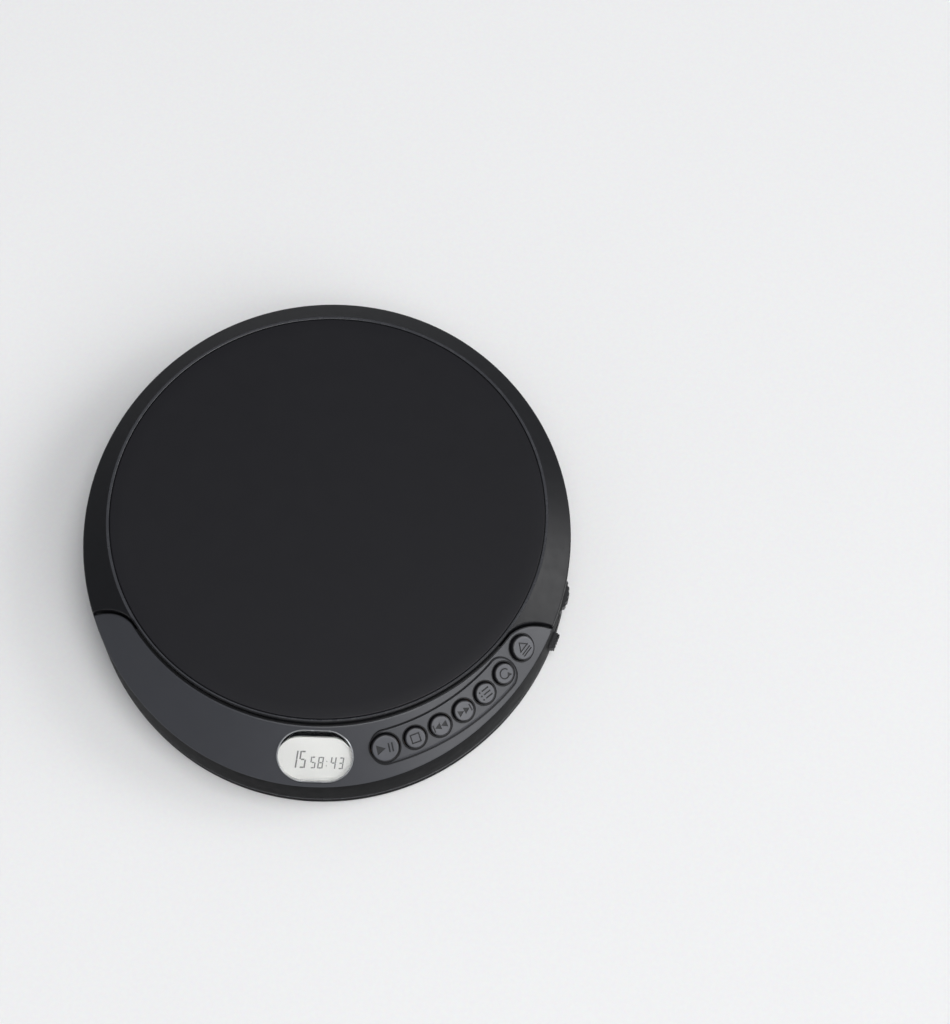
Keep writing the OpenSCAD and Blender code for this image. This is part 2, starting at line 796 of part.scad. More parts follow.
// Battery door with a barrel and pins along its rear edge, and finger ridges
module battery_door() color("#18191b") difference() {
  union() {
    box([-door_l / 2 + run, door_front + run, foot_h],
        [door_l / 2 - run, door_axis_y - door_rear - run, foot_h + door_t]);
    box([-door_barrel_half, door_axis_y - door_rear - over, foot_h],
        [door_barrel_half, door_axis_y, foot_h + door_t]);
    translate([-door_barrel_half, door_axis_y, door_axis_z]) rotate([0, 90, 0])
      cylinder(r = door_barrel_r, h = 2 * door_barrel_half);
    translate([-door_barrel_half - door_pin_l, door_axis_y, door_axis_z]) rotate([0, 90, 0])
      cylinder(r = door_pin_r, h = 2 * (door_barrel_half + door_pin_l));
  }
  for (i = [0 : 4]) translate([0, door_front + 4 + 1.6 * i, foot_h]) cube([14, 0.8, 0.6], center = true);
}

// Coil contacts for the cells' negative ends
module battery_springs() color("silver") for (s = [-1, 1]) {
  centre = [bay_y + s * (cell_d + cell_room) / 2, cell_z];
  start = s > 0 ? -bay_l / 2 + 0.8 : bay_l / 2 - 0.8 - wire_pitch * cell_spring_turns;
  tube(coil(start, centre, cell_spring_r, wire_pitch, cell_spring_turns));
}

// Contact plates behind the springs and at the cells' positive ends
module battery_plates() color("silver") for (s = [-1, 1], e = [-1, 1])
  translate([e * (bay_l / 2 - 0.3), bay_y + s * (cell_d + cell_room) / 2, cell_z]) rotate([0, 90, 0]) {
    translate([0, 0, -0.2]) linear_extrude(0.4) square([10, 10], center = true);
    if (s == e) translate([0, 0, e > 0 ? -1.2 : 0]) cylinder(r = 2.4, h = 1.2);
  }

// Push button: a round cap with a chamfered rim and a flange under the panel
module push_button(at, d) at_key(at) rotate_extrude()
  polygon([[0, -flange_low], [d / 2 + key_flange, -flange_low], [d / 2 + key_flange, -flange_top],
           [d / 2, -flange_top], [d / 2, key_proud - 0.4], [d / 2 - 0.4, key_proud], [0, key_proud]]);

module play_button() color("#4b4d53") push_button(play_at, play_d);
module stop_button() color("#4b4d53") push_button(stop_at, key_d);
module back_button() color("#4b4d53") push_button(back_at, key_d);
module forward_button() color("#4b4d53") push_button(forward_at, key_d);
module program_button() color("#4b4d53") push_button(program_at, key_d);
module mode_button() color("#4b4d53") push_button(mode_at, key_d);

// Open button, with a stem that reaches down to the latch and cut back under the panel on the side of the lid
module open_button() color("#4b4d53") {
  difference() {
    push_button(open_at, open_d);
    at_key(open_at) box([-open_d, -open_d, -flange_low - over], [0, open_d, -panel_t]);
  }
  at_key(open_at) translate([0, 0, -stem_low]) cylinder(r = stem_r, h = stem_low);
}

// Flexible circuit under the keys
module key_flex() color("#8a5a20") intersection() {
  translate([0, 0, deck_under - 2 * over]) linear_extrude(case_h) intersection() {
    outline(wall + run);
    translate([0, spindle_y]) polygon([
      [0, 0], far * [cos(key_az(play_at) - 3.6), sin(key_az(play_at) - 3.6)],
      far * [cos(key_az(mode_at) + 2.6), sin(key_az(mode_at) + 2.6)]
    ]);
  }
  difference() {
    under_panel(flex_depth);
    under_panel(flex_depth + flex_t);
    at_spindle() cylinder(r = well_r + well_wall + run, h = case_h);
  }
}

// Snap domes of the six keys
module key_domes() color("silver") for (k = KEYS) if (k[0] != open_at) at_key(k[0])
  translate([0, 0, -flex_depth + 0.02]) cylinder(r1 = dome_r, r2 = dome_r - 0.5, h = dome_h);

// Sliding catch under the open button
module latch_slide() color("#2c2d30") at_spindle() rotate([0, 0, latch_az]) {
  tongue_z = hook_low + hook_barb_t + run;
  box([latch_in, -latch_tongue_half, tongue_z], [latch_out, latch_tongue_half, tongue_z + latch_tongue_t]);
  box([latch_in + latch_step, -latch_body_half, latch_low],
      [latch_out, latch_body_half, tongue_z + latch_tongue_t / 4]);
}

// Return spring beside the latch
module latch_spring() color("silver") at_spindle() rotate([0, 0, latch_az])
  tube(coil(latch_in + latch_step,
            [-latch_body_half - run - latch_spring_r - wire_r, latch_low + latch_spring_r + run],
            latch_spring_r, wire_pitch, 2));

// Clear oval window of the display
module lcd_window() color("lightgray") on_panel(-90, lcd_r)
  stadium(lcd_w, lcd_h, -window_top - window_t, -window_top);

// Liquid crystal cell behind the window
module lcd_glass() color("#c8cac4") on_panel(-90, lcd_r)
  slab(glass_h, glass_w, -glass_top - glass_t, -glass_top);

// Frame that holds the cell on its board
module lcd_frame() color("#303134") on_panel(-90, lcd_r) difference() {
  slab(frame_h, frame_w, -glass_top - glass_t, -frame_top);
  slab(glass_h + 2 * glass_room, glass_w + 2 * glass_room, -glass_top - glass_t - over, 0);
}

// Board behind the display
module display_board() color("#2f5a38") on_panel(-90, lcd_r) translate([(lcd_h - display_board_h) / 2, 0, 0])
  slab(display_board_h, display_board_w, -glass_top - glass_t - board_t, -glass_top - glass_t);

// Thumbwheel for the volume, with notches round its rim
module volume_wheel() color("#1b1c1e") at_wall(volume_y) translate([-volume_r + volume_proud, 0, volume_low])
  difference() {
    cylinder(r = volume_r, h = volume_t);
    translate([0, 0, -over]) cylinder(r = volume_shaft_r + slip, h = volume_t + 2 * over);
    for (a = [0 : 12 : 348]) rotate([0, 0, a]) translate([volume_r + 0.25, 0, -over])
      cylinder(r = 0.6, h = volume_t + 2 * over);
  }

// Potentiometer that carries the volume wheel
module volume_pot() color("#3c3d40") at_wall(volume_y) translate([-volume_r + volume_proud, 0, 0]) {
  box([-4, -4, board_top], [4, 4, volume_low - run]);
  translate([0, 0, board_top]) cylinder(r = volume_shaft_r, h = volume_low + volume_t - board_top);
}

// Knob of the hold switch, with ridges for the thumb
module hold_knob() color("#2a2b2e") at_wall(hold_y) {
  ridge = 0.6;
  box([-wall - hold_body_gap + run, -hold_knob_w / 2, hold_z - hold_knob_h / 2],
      [hold_proud - ridge, hold_knob_w / 2, hold_z + hold_knob_h / 2]);
  for (i = [-2 : 2]) translate([hold_proud - ridge, i, hold_z])
    cube([2 * ridge, 0.5, hold_knob_h], center = true);
}

// Body of the hold switch
module hold_switch() color("#3c3d40") at_wall(hold_y)
  box([-wall - hold_body_gap - hold_body_t, -hold_knob_w / 2 - run, board_top],
      [-wall - hold_body_gap, hold_knob_w / 2 + hold_travel + run, hold_z + hold_knob_h]);

// Earphone socket
module earphone_jack() color("#1a1a1c") at_wall(jack_y) difference() {
  union() {
    box([-jack_depth - 1.4, -4, board_top], [-wall - 0.4, 4, jack_z + 3.4]);
    translate([-wall - over, 0, jack_z]) rotate([0, 90, 0])
      cylinder(r = jack_sleeve_r, h = wall + over - jack_sunk);
  }
  translate([-jack_sunk - jack_depth, 0, jack_z]) rotate([0, 90, 0])
    cylinder(r = jack_bore_r, h = jack_depth + over);
}

// Coaxial power socket with its centre pin
module power_jack() color("#1a1a1c") at_wall(power_y, -1) {
  difference() {
    union() {
      box([-12, -4.4, board_top], [-wall - 0.6, 4.4, jack_z + 4]);
      translate([-wall - over, 0, jack_z]) rotate([0, 90, 0])
        cylinder(r = power_sleeve_r, h = wall + over - jack_sunk);
    }
    translate([-9.4, 0, jack_z]) rotate([0, 90, 0]) cylinder(r = power_bore_r, h = 10);
  }
  translate([-9.6, 0, jack_z]) rotate([0, 90, 0]) cylinder(r = 0.8, h = 8);
}

// Main board, under the drive and the deck, with wings beside the battery bay
module main_board() color("#2f5a38") translate([0, 0, board_low]) linear_extrude(board_t) difference() {
  intersection() {
    outline(board_room);
    union() {
      translate([-far / 2, board_front]) square([far, far]);
      for (s = [-1, 1]) translate([s > 0 ? wing_in : -wing_in - far, wing_front]) square([far, far]);
    }
  }
  for (p = SCREWS) translate(p) circle(r = boss_r + run);
}

// Chips on the main board: centre, width, depth and height
CHIPS = [[30, 29.4, 14, 14, 1.6], [44, 15.4, 10, 10, 1.4], [28, 7.4, 8, 12, 1.4], [-36, 33.4, 9, 9, 1.4],
         [4, 49.4, 6, 5, 1.2], [20, -2.6, 6, 10, 1.4], [38, -0.6, 5, 4, 1.2], [12, 35.4, 9, 6, 1.3]];
module board_chips() color("#1e1e20") at_spindle() for (c = CHIPS)
  translate([c[0] - c[2] / 2, c[1] - c[3] / 2, board_top]) cube([c[2], c[3], c[4]]);

// Capacitors that stand on the main board: centre, radius and height
CAPS = [[48, 29.4, 3, 7], [41.5, 23.9, 2, 5], [18, 21.4, 2.5, 6], [34, 42.4, 2.5, 6], [50, 3.4, 2, 5],
        [-46, 25.4, 2.5, 6]];
module board_capacitors() color("#26304a") at_spindle() for (c = CAPS)
  translate([c[0], c[1], board_top]) cylinder(r = c[2], h = c[3]);

// Switch that feels whether the lid is closed
module lid_switch() color("#3c3d40") at_spindle() rotate([0, 0, lid_switch_az])
  translate([lid_switch_r, 0, 0])
    box([-2.6, -2.5, board_top], [1.2, 2.5, lid_switch_top - lid_pin_travel - run]);

module lid_switch_pin() color("#d8d8d4") at_spindle() rotate([0, 0, lid_switch_az])
  translate([lid_switch_r, 0, lid_switch_top]) cylinder(r = lid_pin_r, h = lid_pin_top - lid_switch_top);

// Bracket under the chassis that holds an end of a guide rod
module rod_bracket(x) for (s = [-1, 1])
  box([x, s * rod_y - 2.2, rod_z - rod_r - 1], [x + bracket_t, s * rod_y + 2.2, chassis_low + over / 2]);

// Plate that carries the motors, the guide rods and the gears
module chassis() color("#5c5f66") at_spindle() difference() {
  union() {
    translate([0, 0, chassis_low]) linear_extrude(chassis_t) {
      translate([chassis_left, -chassis_half]) square([chassis_right - chassis_left, 2 * chassis_half]);
      translate([gear_x - 5, 0]) square([pinion_x + 8 - gear_x + 5, gear_y + 7]);
      for (p = DAMPERS) translate(p) circle(r = damper_ear_r);
    }
    rod_bracket(chassis_left);
    rod_bracket(rod_right - bracket_t);
    translate([gear_x, gear_y, gear_low - 0.6]) cylinder(r = gear_pin_r, h = chassis_low - gear_low + 0.8);
    box([pinion_x - 3, gear_y - 6.4, sled_motor_top], [pinion_x + 7, gear_y + 6.4, sled_motor_top + 0.8]);
    for (s = [-1, 1]) translate([pinion_x + 5.4, gear_y + s * 5, sled_motor_top])
      cylinder(r = 1.2, h = chassis_low - sled_motor_top + 0.2);
  }
  translate([0, 0, sled_low]) cylinder(r = 6, h = case_h);
  box([-lens_in - sled_travel - turret_half_x - 1, -turret_half_y - 1, chassis_low - over],
      [-lens_in + turret_half_x + 1, turret_half_y + 1, case_h]);
  for (s = [-1, 1]) translate([rod_left, s * rod_y, rod_z]) rotate([0, 90, 0])
    cylinder(r = rod_r + seat, h = rod_right - rod_left + over);
  for (p = DAMPERS) translate([p[0], p[1], 0]) cylinder(r = damper_waist_r + seat, h = case_h);
  translate([pinion_x, gear_y, 0]) cylinder(r = 1.6, h = chassis_low - 1);
}

// Rubber dampers between the chassis and the deck's posts
module chassis_dampers() color("#161616") at_spindle() for (p = DAMPERS) translate([p[0], p[1], 0])
  rotate_extrude() polygon([
    [damper_post_r + seat, chassis_low - damper_lip], [damper_r, chassis_low - damper_lip],
    [damper_r, chassis_low], [damper_waist_r, chassis_low], [damper_waist_r, chassis_top],
    [damper_r, chassis_top], [damper_r, chassis_top + damper_lip],
    [damper_post_r + seat, chassis_top + damper_lip]
  ]);

// Screws that keep the dampers on their posts
module chassis_screws() color("silver") at_spindle() for (p = DAMPERS)
  translate([p[0], p[1], chassis_low - damper_lip]) {
    translate([0, 0, -1]) cylinder(r = damper_r - 0.3, h = 1);
    translate([0, 0, -0.5]) cylinder(r = damper_post_r / 2, h = 3.4);
  }

// Motor under the chassis that turns the disc
module spindle_motor() color("silver") at_spindle() translate([0, 0, motor_low]) difference() {
  cylinder(r = spindle_motor_r, h = motor_top - motor_low);
  translate([0, 0, 0.8]) cylinder(r = shaft_r + slip, h = motor_top);
}

// Turntable with its hub and shaft
module turntable_hub() color("#1d1e20") at_spindle() difference() {
  rotate_extrude() polygon([
    [0, motor_low + 1], [shaft_r, motor_low + 1], [shaft_r, chassis_top + 0.5], [4, chassis_top + 0.5],
    [4, disc_z - table_t], [table_r, disc_z - table_t], [table_r, disc_z], [hub_r, disc_z],
    [hub_r, disc_z + hub_seat], [hub_r - 0.3, hub_top - 0.7], [hub_r - 1.8, hub_top], [0, hub_top]
  ]);
  for (a = [30, 150, 270]) rotate([0, 0, a]) translate([hub_r - 3, 0, ball_z]) rotate([0, 90, 0])
    cylinder(r = ball_r + 0.05, h = 4);
}

// Catch balls in the hub that hold the disc
module hub_balls() color("silver") at_spindle() for (a = [30, 150, 270]) rotate([0, 0, a])
  translate([hub_r + ball_proud - ball_r, 0, ball_z]) sphere(r = ball_r);

// Steel rods that the sled runs on
module guide_rods() color("silver") at_spindle() for (s = [-1, 1])
  translate([rod_left, s * rod_y, rod_z]) rotate([0, 90, 0]) cylinder(r = rod_r, h = rod_right - rod_left);

// Straight row of teeth along the rear of the sled
module rack_plan() {
  slope = tan(20);
  w = pitch / 4 - backlash / 4;
  translate([rack_left, sled_half + run]) square([rack_right - rack_left, rack_back - sled_half - run]);
  translate([sled_out, sled_half - over]) square([sled_in - sled_out, over + 2 * run]);
  for (i = [ceil((rack_left - gear_x) / pitch) : floor((rack_right - gear_x) / pitch) - 1])
    translate([gear_x + (i + 0.5) * pitch, 0])
      polygon([[-w - tooth_down * slope, rack_back - 0.1], [-w + tooth_up * slope, rack_line + tooth_up],
               [w - tooth_up * slope, rack_line + tooth_up], [w + tooth_down * slope, rack_back - 0.1]]);
}

// Pickup sled with its lens turret and its rack
module pickup_sled() color("#2a2b2f") at_spindle() difference() {
  union() {
    box([sled_out, -sled_half, sled_low], [sled_in, sled_half, sled_top]);
    box([-lens_in - turret_half_x, -turret_half_y, sled_low],
        [-lens_in + turret_half_x, turret_half_y, turret_top]);
    translate([0, 0, gear_low - 0.3]) linear_extrude(gear_t + 0.6) rack_plan();
  }
  for (s = [-1, 1]) translate([sled_out - over, s * rod_y, rod_z]) rotate([0, 90, 0])
    cylinder(r = rod_r + slip, h = sled_in - sled_out + 2 * over);
  translate([-lens_in, 0, lens_low - lens_room - 0.6]) cylinder(r = lens_r + lens_room, h = case_h);
}

// Focusing lens of the pickup
module pickup_lens() color("#7a90a8") at_spindle() translate([-lens_in, 0, lens_low]) {
  cylinder(r = lens_r, h = lens_top - lens_low - 0.5);
  translate([0, 0, lens_top - lens_low - 0.5]) cylinder(r1 = lens_r - 0.5, r2 = lens_r - 1.1, h = 0.5);
}

// Motor that drives the sled
module sled_motor() color("silver") at_spindle() translate([pinion_x, gear_y, 0]) {
  translate([0, 0, sled_motor_low]) cylinder(r = sled_motor_r, h = sled_motor_top - sled_motor_low);
  translate([0, 0, sled_motor_low]) cylinder(r = 0.75, h = gear_low + gear_t + 0.4 - sled_motor_low);
}

// Pinion on the sled motor's shaft
module motor_pinion() color("ivory") at_spindle() translate([pinion_x, gear_y, gear_low]) difference() {
  linear_extrude(gear_t) gear_plan(pinion_teeth, 180 / pinion_teeth);
  translate([0, 0, -over]) cylinder(r = 0.75 + slip, h = gear_t + 2 * over);
}

// Gear between the pinion and the rack
module drive_gear() color("ivory") at_spindle() translate([gear_x, gear_y, gear_low]) difference() {
  linear_extrude(gear_t) gear_plan(gear_teeth);
  translate([0, 0, -over]) cylinder(r = gear_pin_r + slip, h = gear_t + 2 * over);
}

echo(lid_spring_gap = turn_gap(lid_coil));

lower_case();
upper_case();
lid_shell();
lid_panel();
hinge_pin();
lid_spring();
feet();
case_screws();
battery_door();
battery_springs();
battery_plates();
open_button();
play_button();
stop_button();
back_button();
forward_button();
program_button();
mode_button();
key_flex();
key_domes();
latch_slide();
latch_spring();
lcd_window();
lcd_glass();
lcd_frame();
display_board();
volume_wheel();
volume_pot();
hold_knob();
hold_switch();
earphone_jack();
power_jack();
main_board();
board_chips();
board_capacitors();
lid_switch();
lid_switch_pin();
chassis();
chassis_dampers();
chassis_screws();
spindle_motor();
turntable_hub();
hub_balls();
guide_rods();
pickup_sled();
pickup_lens();
sled_motor();
motor_pinion();
drive_gear();
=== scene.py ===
from math import asin, atan2, cos, degrees, hypot, pi, radians, sin, sqrt, tan

import bmesh
import bpy
from mathutils import Matrix, Vector


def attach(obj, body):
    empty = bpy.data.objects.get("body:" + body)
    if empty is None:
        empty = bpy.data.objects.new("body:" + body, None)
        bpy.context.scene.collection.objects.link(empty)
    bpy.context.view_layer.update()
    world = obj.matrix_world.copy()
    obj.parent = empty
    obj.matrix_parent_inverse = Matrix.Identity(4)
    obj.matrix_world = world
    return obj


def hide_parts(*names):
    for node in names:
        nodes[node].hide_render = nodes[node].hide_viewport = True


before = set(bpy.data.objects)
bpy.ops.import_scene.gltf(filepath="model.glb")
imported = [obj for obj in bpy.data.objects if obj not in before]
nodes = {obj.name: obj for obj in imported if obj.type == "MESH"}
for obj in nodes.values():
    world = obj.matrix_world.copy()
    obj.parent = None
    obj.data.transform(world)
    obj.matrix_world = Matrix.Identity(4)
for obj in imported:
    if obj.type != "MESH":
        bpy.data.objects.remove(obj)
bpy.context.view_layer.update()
scene = bpy.context.scene
MM = 0.001
FAR = 999.0
TINY = 1e-6

# Outline of the case in millimetres: two end arcs and two side arcs
# JOIN is the sine of the angle at which an end arc meets a side arc
SPIN_Y = 4.6
END_R = 66.0
END_Y = 8.0
SIDE_R = 76.0
SIDE_X = 6.0
JOIN = 0.8

# Levels of the case and the lid
TOP = 26.19
LID_LOW = 20.0
LEDGE = 19.7
SEAM = 4.0
BASE_TOP = 3.6
BASE_LOW = 0.82
HINGE_Y = 69.2

# Lid's shoulder and sloping front panel, as cones round the spindle
LID_R = 63.3
SHOULDER_DEG = 30.0
PANEL_R = 64.0
PANEL_Z = 25.3
PANEL_DEG = 34.8

# Round horns at the panel's two ends, and the lid's cut round them
HORN_AT = 54.5
HORN_DIST = 77.35
HORN_R = 13.5
HORN_CUT = 14.2

# Keys: the angle of each on its arc, and its diameter
KEYS = {
    "open": (-29.8, 7.0),
    "mode": (-37.9, 6.0),
    "program": (-44.7, 6.0),
    "forward": (-51.5, 6.0),
    "back": (-58.3, 6.0),
    "stop": (-65.1, 6.0),
    "play": (-72.8, 7.8),
}
KEY_R = 65.0
KEY_BACK = 6.0
KEY_TOP = 1.3
KEY_LOW = -2.0
KEY_ROOM = 0.7
ICON_SIZE = 1.28
ICON_DEPTH = 0.2

# Strip that the keys stand in, and its groove
STRIP_HALF = 3.85
GROOVE_HALF = 4.3
STRIP_H = 0.35
STRIP_FOOT = -0.5
STRIP_EDGE = 0.4

# Openings in the side wall: where each is, and a slot's reach along and up the wall
VOLUME_Y = -14.5
VOLUME_SLOT = (-7.2, 7.2, 11.1, 14.3)
HOLD_Y = -26
HOLD_SLOT = (-2.8, 5.8, 6.1, 9.1)
JACK_Y = 0
POWER_Y = -27
SOCKET_Z = 8.2
JACK_R = 2.93
POWER_R = 3.63

# Display: its place on the panel, and the width and height of each piece and its levels below the panel
LCD_R = 71.3
HOLE_SIZE = (21.5, 15.4)
RIM_SIZE = (21.0, 14.9)
RIM_R = 0.22
RIM_Z = -0.45
PANE_SIZE = (20.7, 14.6)
PANE_Z = (-1.6, -0.6)
PANE_EDGE = 0.25
CELL_SIZE = (21.4, 12.7)
CELL_Z = (-2.8, -1.75)
CELL_DOWN = 1.3
# Dark sheet behind the cell, painted as the dark reflection across the display's top; the cell sits CELL_DOWN
# down the slope so that the sheet shows above it
DARK_REFLECTION_SIZE = (21.4, 15.3)
DARK_REFLECTION_Z = (-3.1, -2.82)
THIN_EDGE = 0.05
BAR_T = 0.04

# Lid's soft disc and the bore that it lies in
DISC_R = 62.3
DISC_LOW = 25.42
BORE_R = 62.5
BORE_LOW = 25.35

# Fineness: points on a rounded corner, sharp edges in degrees, and steps round the spindle in degrees
CURVE = 6
SHARP = 32
CAP_SHARP = 40
CAD_SHARP = 28
WIDE_STEP = 0.75
FINE_STEP = 0.125
FINE_AT = 60
FINE_SPAN = 7


# Outlines, as distances from the spindle
def circle_far(cx, cy, r, c, s):
    """Distance in the direction (c, s) to the far side of a circle."""
    b = c * cx + s * cy
    return b + sqrt(b * b - cx * cx - cy * cy + r * r)


def outline_r(az):
    """Distance to the wall, at an angle from the X axis."""
    c, s = cos(az), sin(az)
    for side in (1, -1):
        r = circle_far(0, side * END_Y - SPIN_Y, END_R, c, s)
        if side * (SPIN_Y + r * s) >= END_Y + END_R * JOIN:
            return r
    side = 1 if c > 0 else -1
    return circle_far(-side * SIDE_X, -SPIN_Y, SIDE_R, c, s)


def horn_r(a, radius):
    """Distance to the near side of a horn's circle, at an angle from the front."""
    d = radians(a - HORN_AT)
    if d <= 0:
        return 0.0
    inside = radius**2 - (HORN_DIST * sin(d)) ** 2
    return HORN_DIST * cos(d) - sqrt(inside) if inside > 0 else FAR


def panel_z(r):
    return PANEL_Z - (r - PANEL_R) * tan(radians(PANEL_DEG))


def strip_z(r):
    return panel_z(r) + STRIP_H / cos(radians(PANEL_DEG))


def shoulder_z(r):
    return TOP - (r - LID_R) * tan(radians(SHOULDER_DEG))


def panel_in(a):
    return max(PANEL_R, horn_r(a, HORN_R))


def lid_out(a, limit):
    return min(limit, max(LID_R, horn_r(a, HORN_CUT)))


def angles():
    """Angles from the front, close together where the horns are."""
    out = []
    a = -180.0
    while a < 180.0 - TINY:
        out.append(a)
        near = abs(abs(a) - FINE_AT) < FINE_SPAN
        a += FINE_STEP if near else WIDE_STEP
    return out


# Limits for meshes: points nearer than WELD or MERGE, in metres, become one
# A face lies on a cone if its normal's Z is within CONE_TURN and its points within CONE_ROOM millimetres
WELD = 1e-8
MERGE = 1e-6
CONE_TURN = 0.07
CONE_ROOM = 0.02


# Mesh building
def rounded(corners):
    """Closed profile through corners (x, y, radius), with a curve at each that has a radius."""
    out = []
    for i, (x, y, radius) in enumerate(corners):
        p = Vector((x, y))
        if radius <= 0:
            out.append(p)
            continue
        before = Vector(corners[i - 1][:2]) - p
        after = Vector(corners[(i + 1) % len(corners)][:2]) - p
        la, lb = max(before.length, TINY), max(after.length, TINY)
        half = before.angle(after, pi) / 2 if min(la, lb) > 10 * TINY else pi / 2
        reach = min(radius / max(tan(half), 0.05), 0.46 * la, 0.46 * lb)
        start, end = p + before / la * reach, p + after / lb * reach
        for j in range(CURVE):
            t = j / (CURVE - 1)
            out.append(start * (1 - t) ** 2 + p * 2 * t * (1 - t) + end * t * t)
    return out


def shade(mesh, sharp=SHARP):
    """Smooth shading that breaks at sharp edges."""
    mesh.shade_smooth()
    mesh.set_sharp_from_angle(angle=radians(sharp))


def add_mesh(name, verts, faces, mats, marks=None, weld=False):
    """Object from points in millimetres. marks gives each face its place in the list of materials."""
    mesh = bpy.data.meshes.new(name)
    mesh.from_pydata([Vector(v) * MM for v in verts], [], faces)
    for m in mats:
        mesh.materials.append(m)
    if marks:
        mesh.polygons.foreach_set("material_index", marks)
    bm = bmesh.new()
    bm.from_mesh(mesh)
    if weld:
        bmesh.ops.remove_doubles(bm, verts=bm.verts, dist=WELD)
    bmesh.ops.recalc_face_normals(bm, faces=bm.faces)
    bm.to_mesh(mesh)
    bm.free()
    shade(mesh)
    obj = bpy.data.objects.new(name, mesh)
    scene.collection.objects.link(obj)
    return obj


def band(rows, count, closed=False):
    """Faces between rows of points, where each row is a loop."""
    faces = []
    for k in range(rows if closed else rows - 1):
        here, there = k * count, (k + 1) % rows * count
        for i in range(count):
            j = (i + 1) % count
            faces.append((here + i, here + j, there + j, there + i))
    return faces


def ring(name, profile_at, mats, mark_at):
    """Closed band round the spindle. profile_at gives the section at an angle from the front."""
    verts, marks = [], []
    steps = angles()
    for a in steps:
        az = radians(a - 90)
        profile = profile_at(a, az)
        verts += [(p.x * cos(az), SPIN_Y + p.x * sin(az), p.y) for p in profile]
        marks += [mark_at(k, a) for k in range(len(profile))]
    faces = band(len(steps), len(verts) // len(steps), True)
    return add_mesh(name, verts, faces, mats, marks)


def lathe(name, profile, mats, mark_at=None, steps=72):
    """Round piece about Z. The profile starts and ends on the axis."""
    verts, faces, marks = [], [], []
    for r, z in profile:
        if r < TINY:
            verts.append((0, 0, z))
            continue
        for i in range(steps):
            t = 2 * pi * i / steps
            verts.append((r * cos(t), r * sin(t), z))
    start = 0
    for k in range(len(profile) - 1):
        from_axis, to_axis = profile[k][0] < TINY, profile[k + 1][0] < TINY
        after = start + (1 if from_axis else steps)
        for i in range(steps):
            j = (i + 1) % steps
            if from_axis:
                faces.append((start, after + i, after + j))
            elif to_axis:
                faces.append((start + i, start + j, after))
            else:
                faces.append((start + i, start + j, after + j, after + i))
            marks.append(mark_at(k) if mark_at else 0)
        start = after
    return add_mesh(name, verts, faces, mats, marks)


def prism(name, loops, z0, z1, mats):
    """Straight prisms over one or more plain outlines."""
    verts, faces = [], []
    for loop in loops:
        n, first = len(loop), len(verts)
        verts += [(x, y, z0) for x, y in loop] + [(x, y, z1) for x, y in loop]
        faces.append(tuple(first + n + i for i in range(n)))
        faces.append(tuple(first + n - 1 - i for i in range(n)))
        for i in range(n):
            j = (i + 1) % n
            faces.append((first + i, first + j, first + n + j, first + n + i))
    return add_mesh(name, verts, faces, mats)


def stadium(width, height, n=24):
    """Outline with round ends, long along Y."""
    r = height / 2
    h = width / 2 - r
    out = []
    for middle, start in ((h, 0), (-h, pi)):
        for i in range(n + 1):
            t = start + pi * i / n
            out.append((r * cos(t), middle + r * sin(t)))
    return out


def cut(obj, tools, crossing=False):
    """Takes the tools away from the object. crossing says that a tool's own parts may cross."""
    for tool in tools:
        mod = obj.modifiers.new("cut", "BOOLEAN")
        mod.operation = "DIFFERENCE"
        mod.use_self = crossing
        mod.solver = "EXACT"
        mod.material_mode = "TRANSFER"
        mod.object = tool
        bpy.context.view_layer.update()
        deps = bpy.context.evaluated_depsgraph_get()
        mesh = bpy.data.meshes.new_from_object(obj.evaluated_get(deps))
        obj.modifiers.clear()
        obj.data = mesh
        if not len(mesh.polygons):
            raise RuntimeError(obj.name + " was cut away")
        bpy.data.objects.remove(tool)


def cone_normals(obj, deg, height, skip=-1):
    """Gives the faces on a cone round the spindle the cone's own normals, which cuts leave uneven."""
    mesh = obj.data
    out = [tuple(n.vector) for n in mesh.corner_normals]
    tilt = radians(deg)
    for face in mesh.polygons:
        if face.material_index == skip or abs(face.normal.z - cos(tilt)) > CONE_TURN:
            continue
        for k in face.loop_indices:
            p = mesh.vertices[mesh.loops[k].vertex_index].co / MM
            r, az = hypot(p.x, p.y - SPIN_Y), atan2(p.y - SPIN_Y, p.x)
            if abs(p.z - height(r)) < CONE_ROOM:
                out[k] = (sin(tilt) * cos(az), sin(tilt) * sin(az), cos(tilt))
    mesh.normals_split_custom_set(out)


# Places on the player
def shift(x, y, z):
    return Matrix.Translation(Vector((x, y, z)) * MM)


def turn(angle, axis):
    return Matrix.Rotation(angle, 4, axis)


def place(obj, matrix):
    obj.data.transform(matrix)
    return obj


def on_panel(az_deg, r):
    """Place on the sloping panel: X down the slope, Y along the arc, Z out of it."""
    round_spindle = shift(0, SPIN_Y, 0) @ turn(radians(az_deg), "Z")
    return round_spindle @ shift(r, 0, panel_z(r)) @ turn(radians(PANEL_DEG), "Y")


def key_place(angle):
    x = KEY_R * cos(radians(angle))
    y = KEY_R * sin(radians(angle)) - KEY_BACK
    return on_panel(degrees(atan2(y, x)), hypot(x, y))


def wall_place(y, side=1):
    """Place on the side wall, with X square to it."""
    a = asin(y / SIDE_R)
    return shift(side * (SIDE_R * cos(a) - SIDE_X), y, 0) @ turn(a if side > 0 else pi - a, "Z")


LCD = on_panel(-90, LCD_R)


# Materials
NOISE_LOW = 0.3
NOISE_HIGH = 0.7
GRAIN_DEPTH = 0.06 * MM


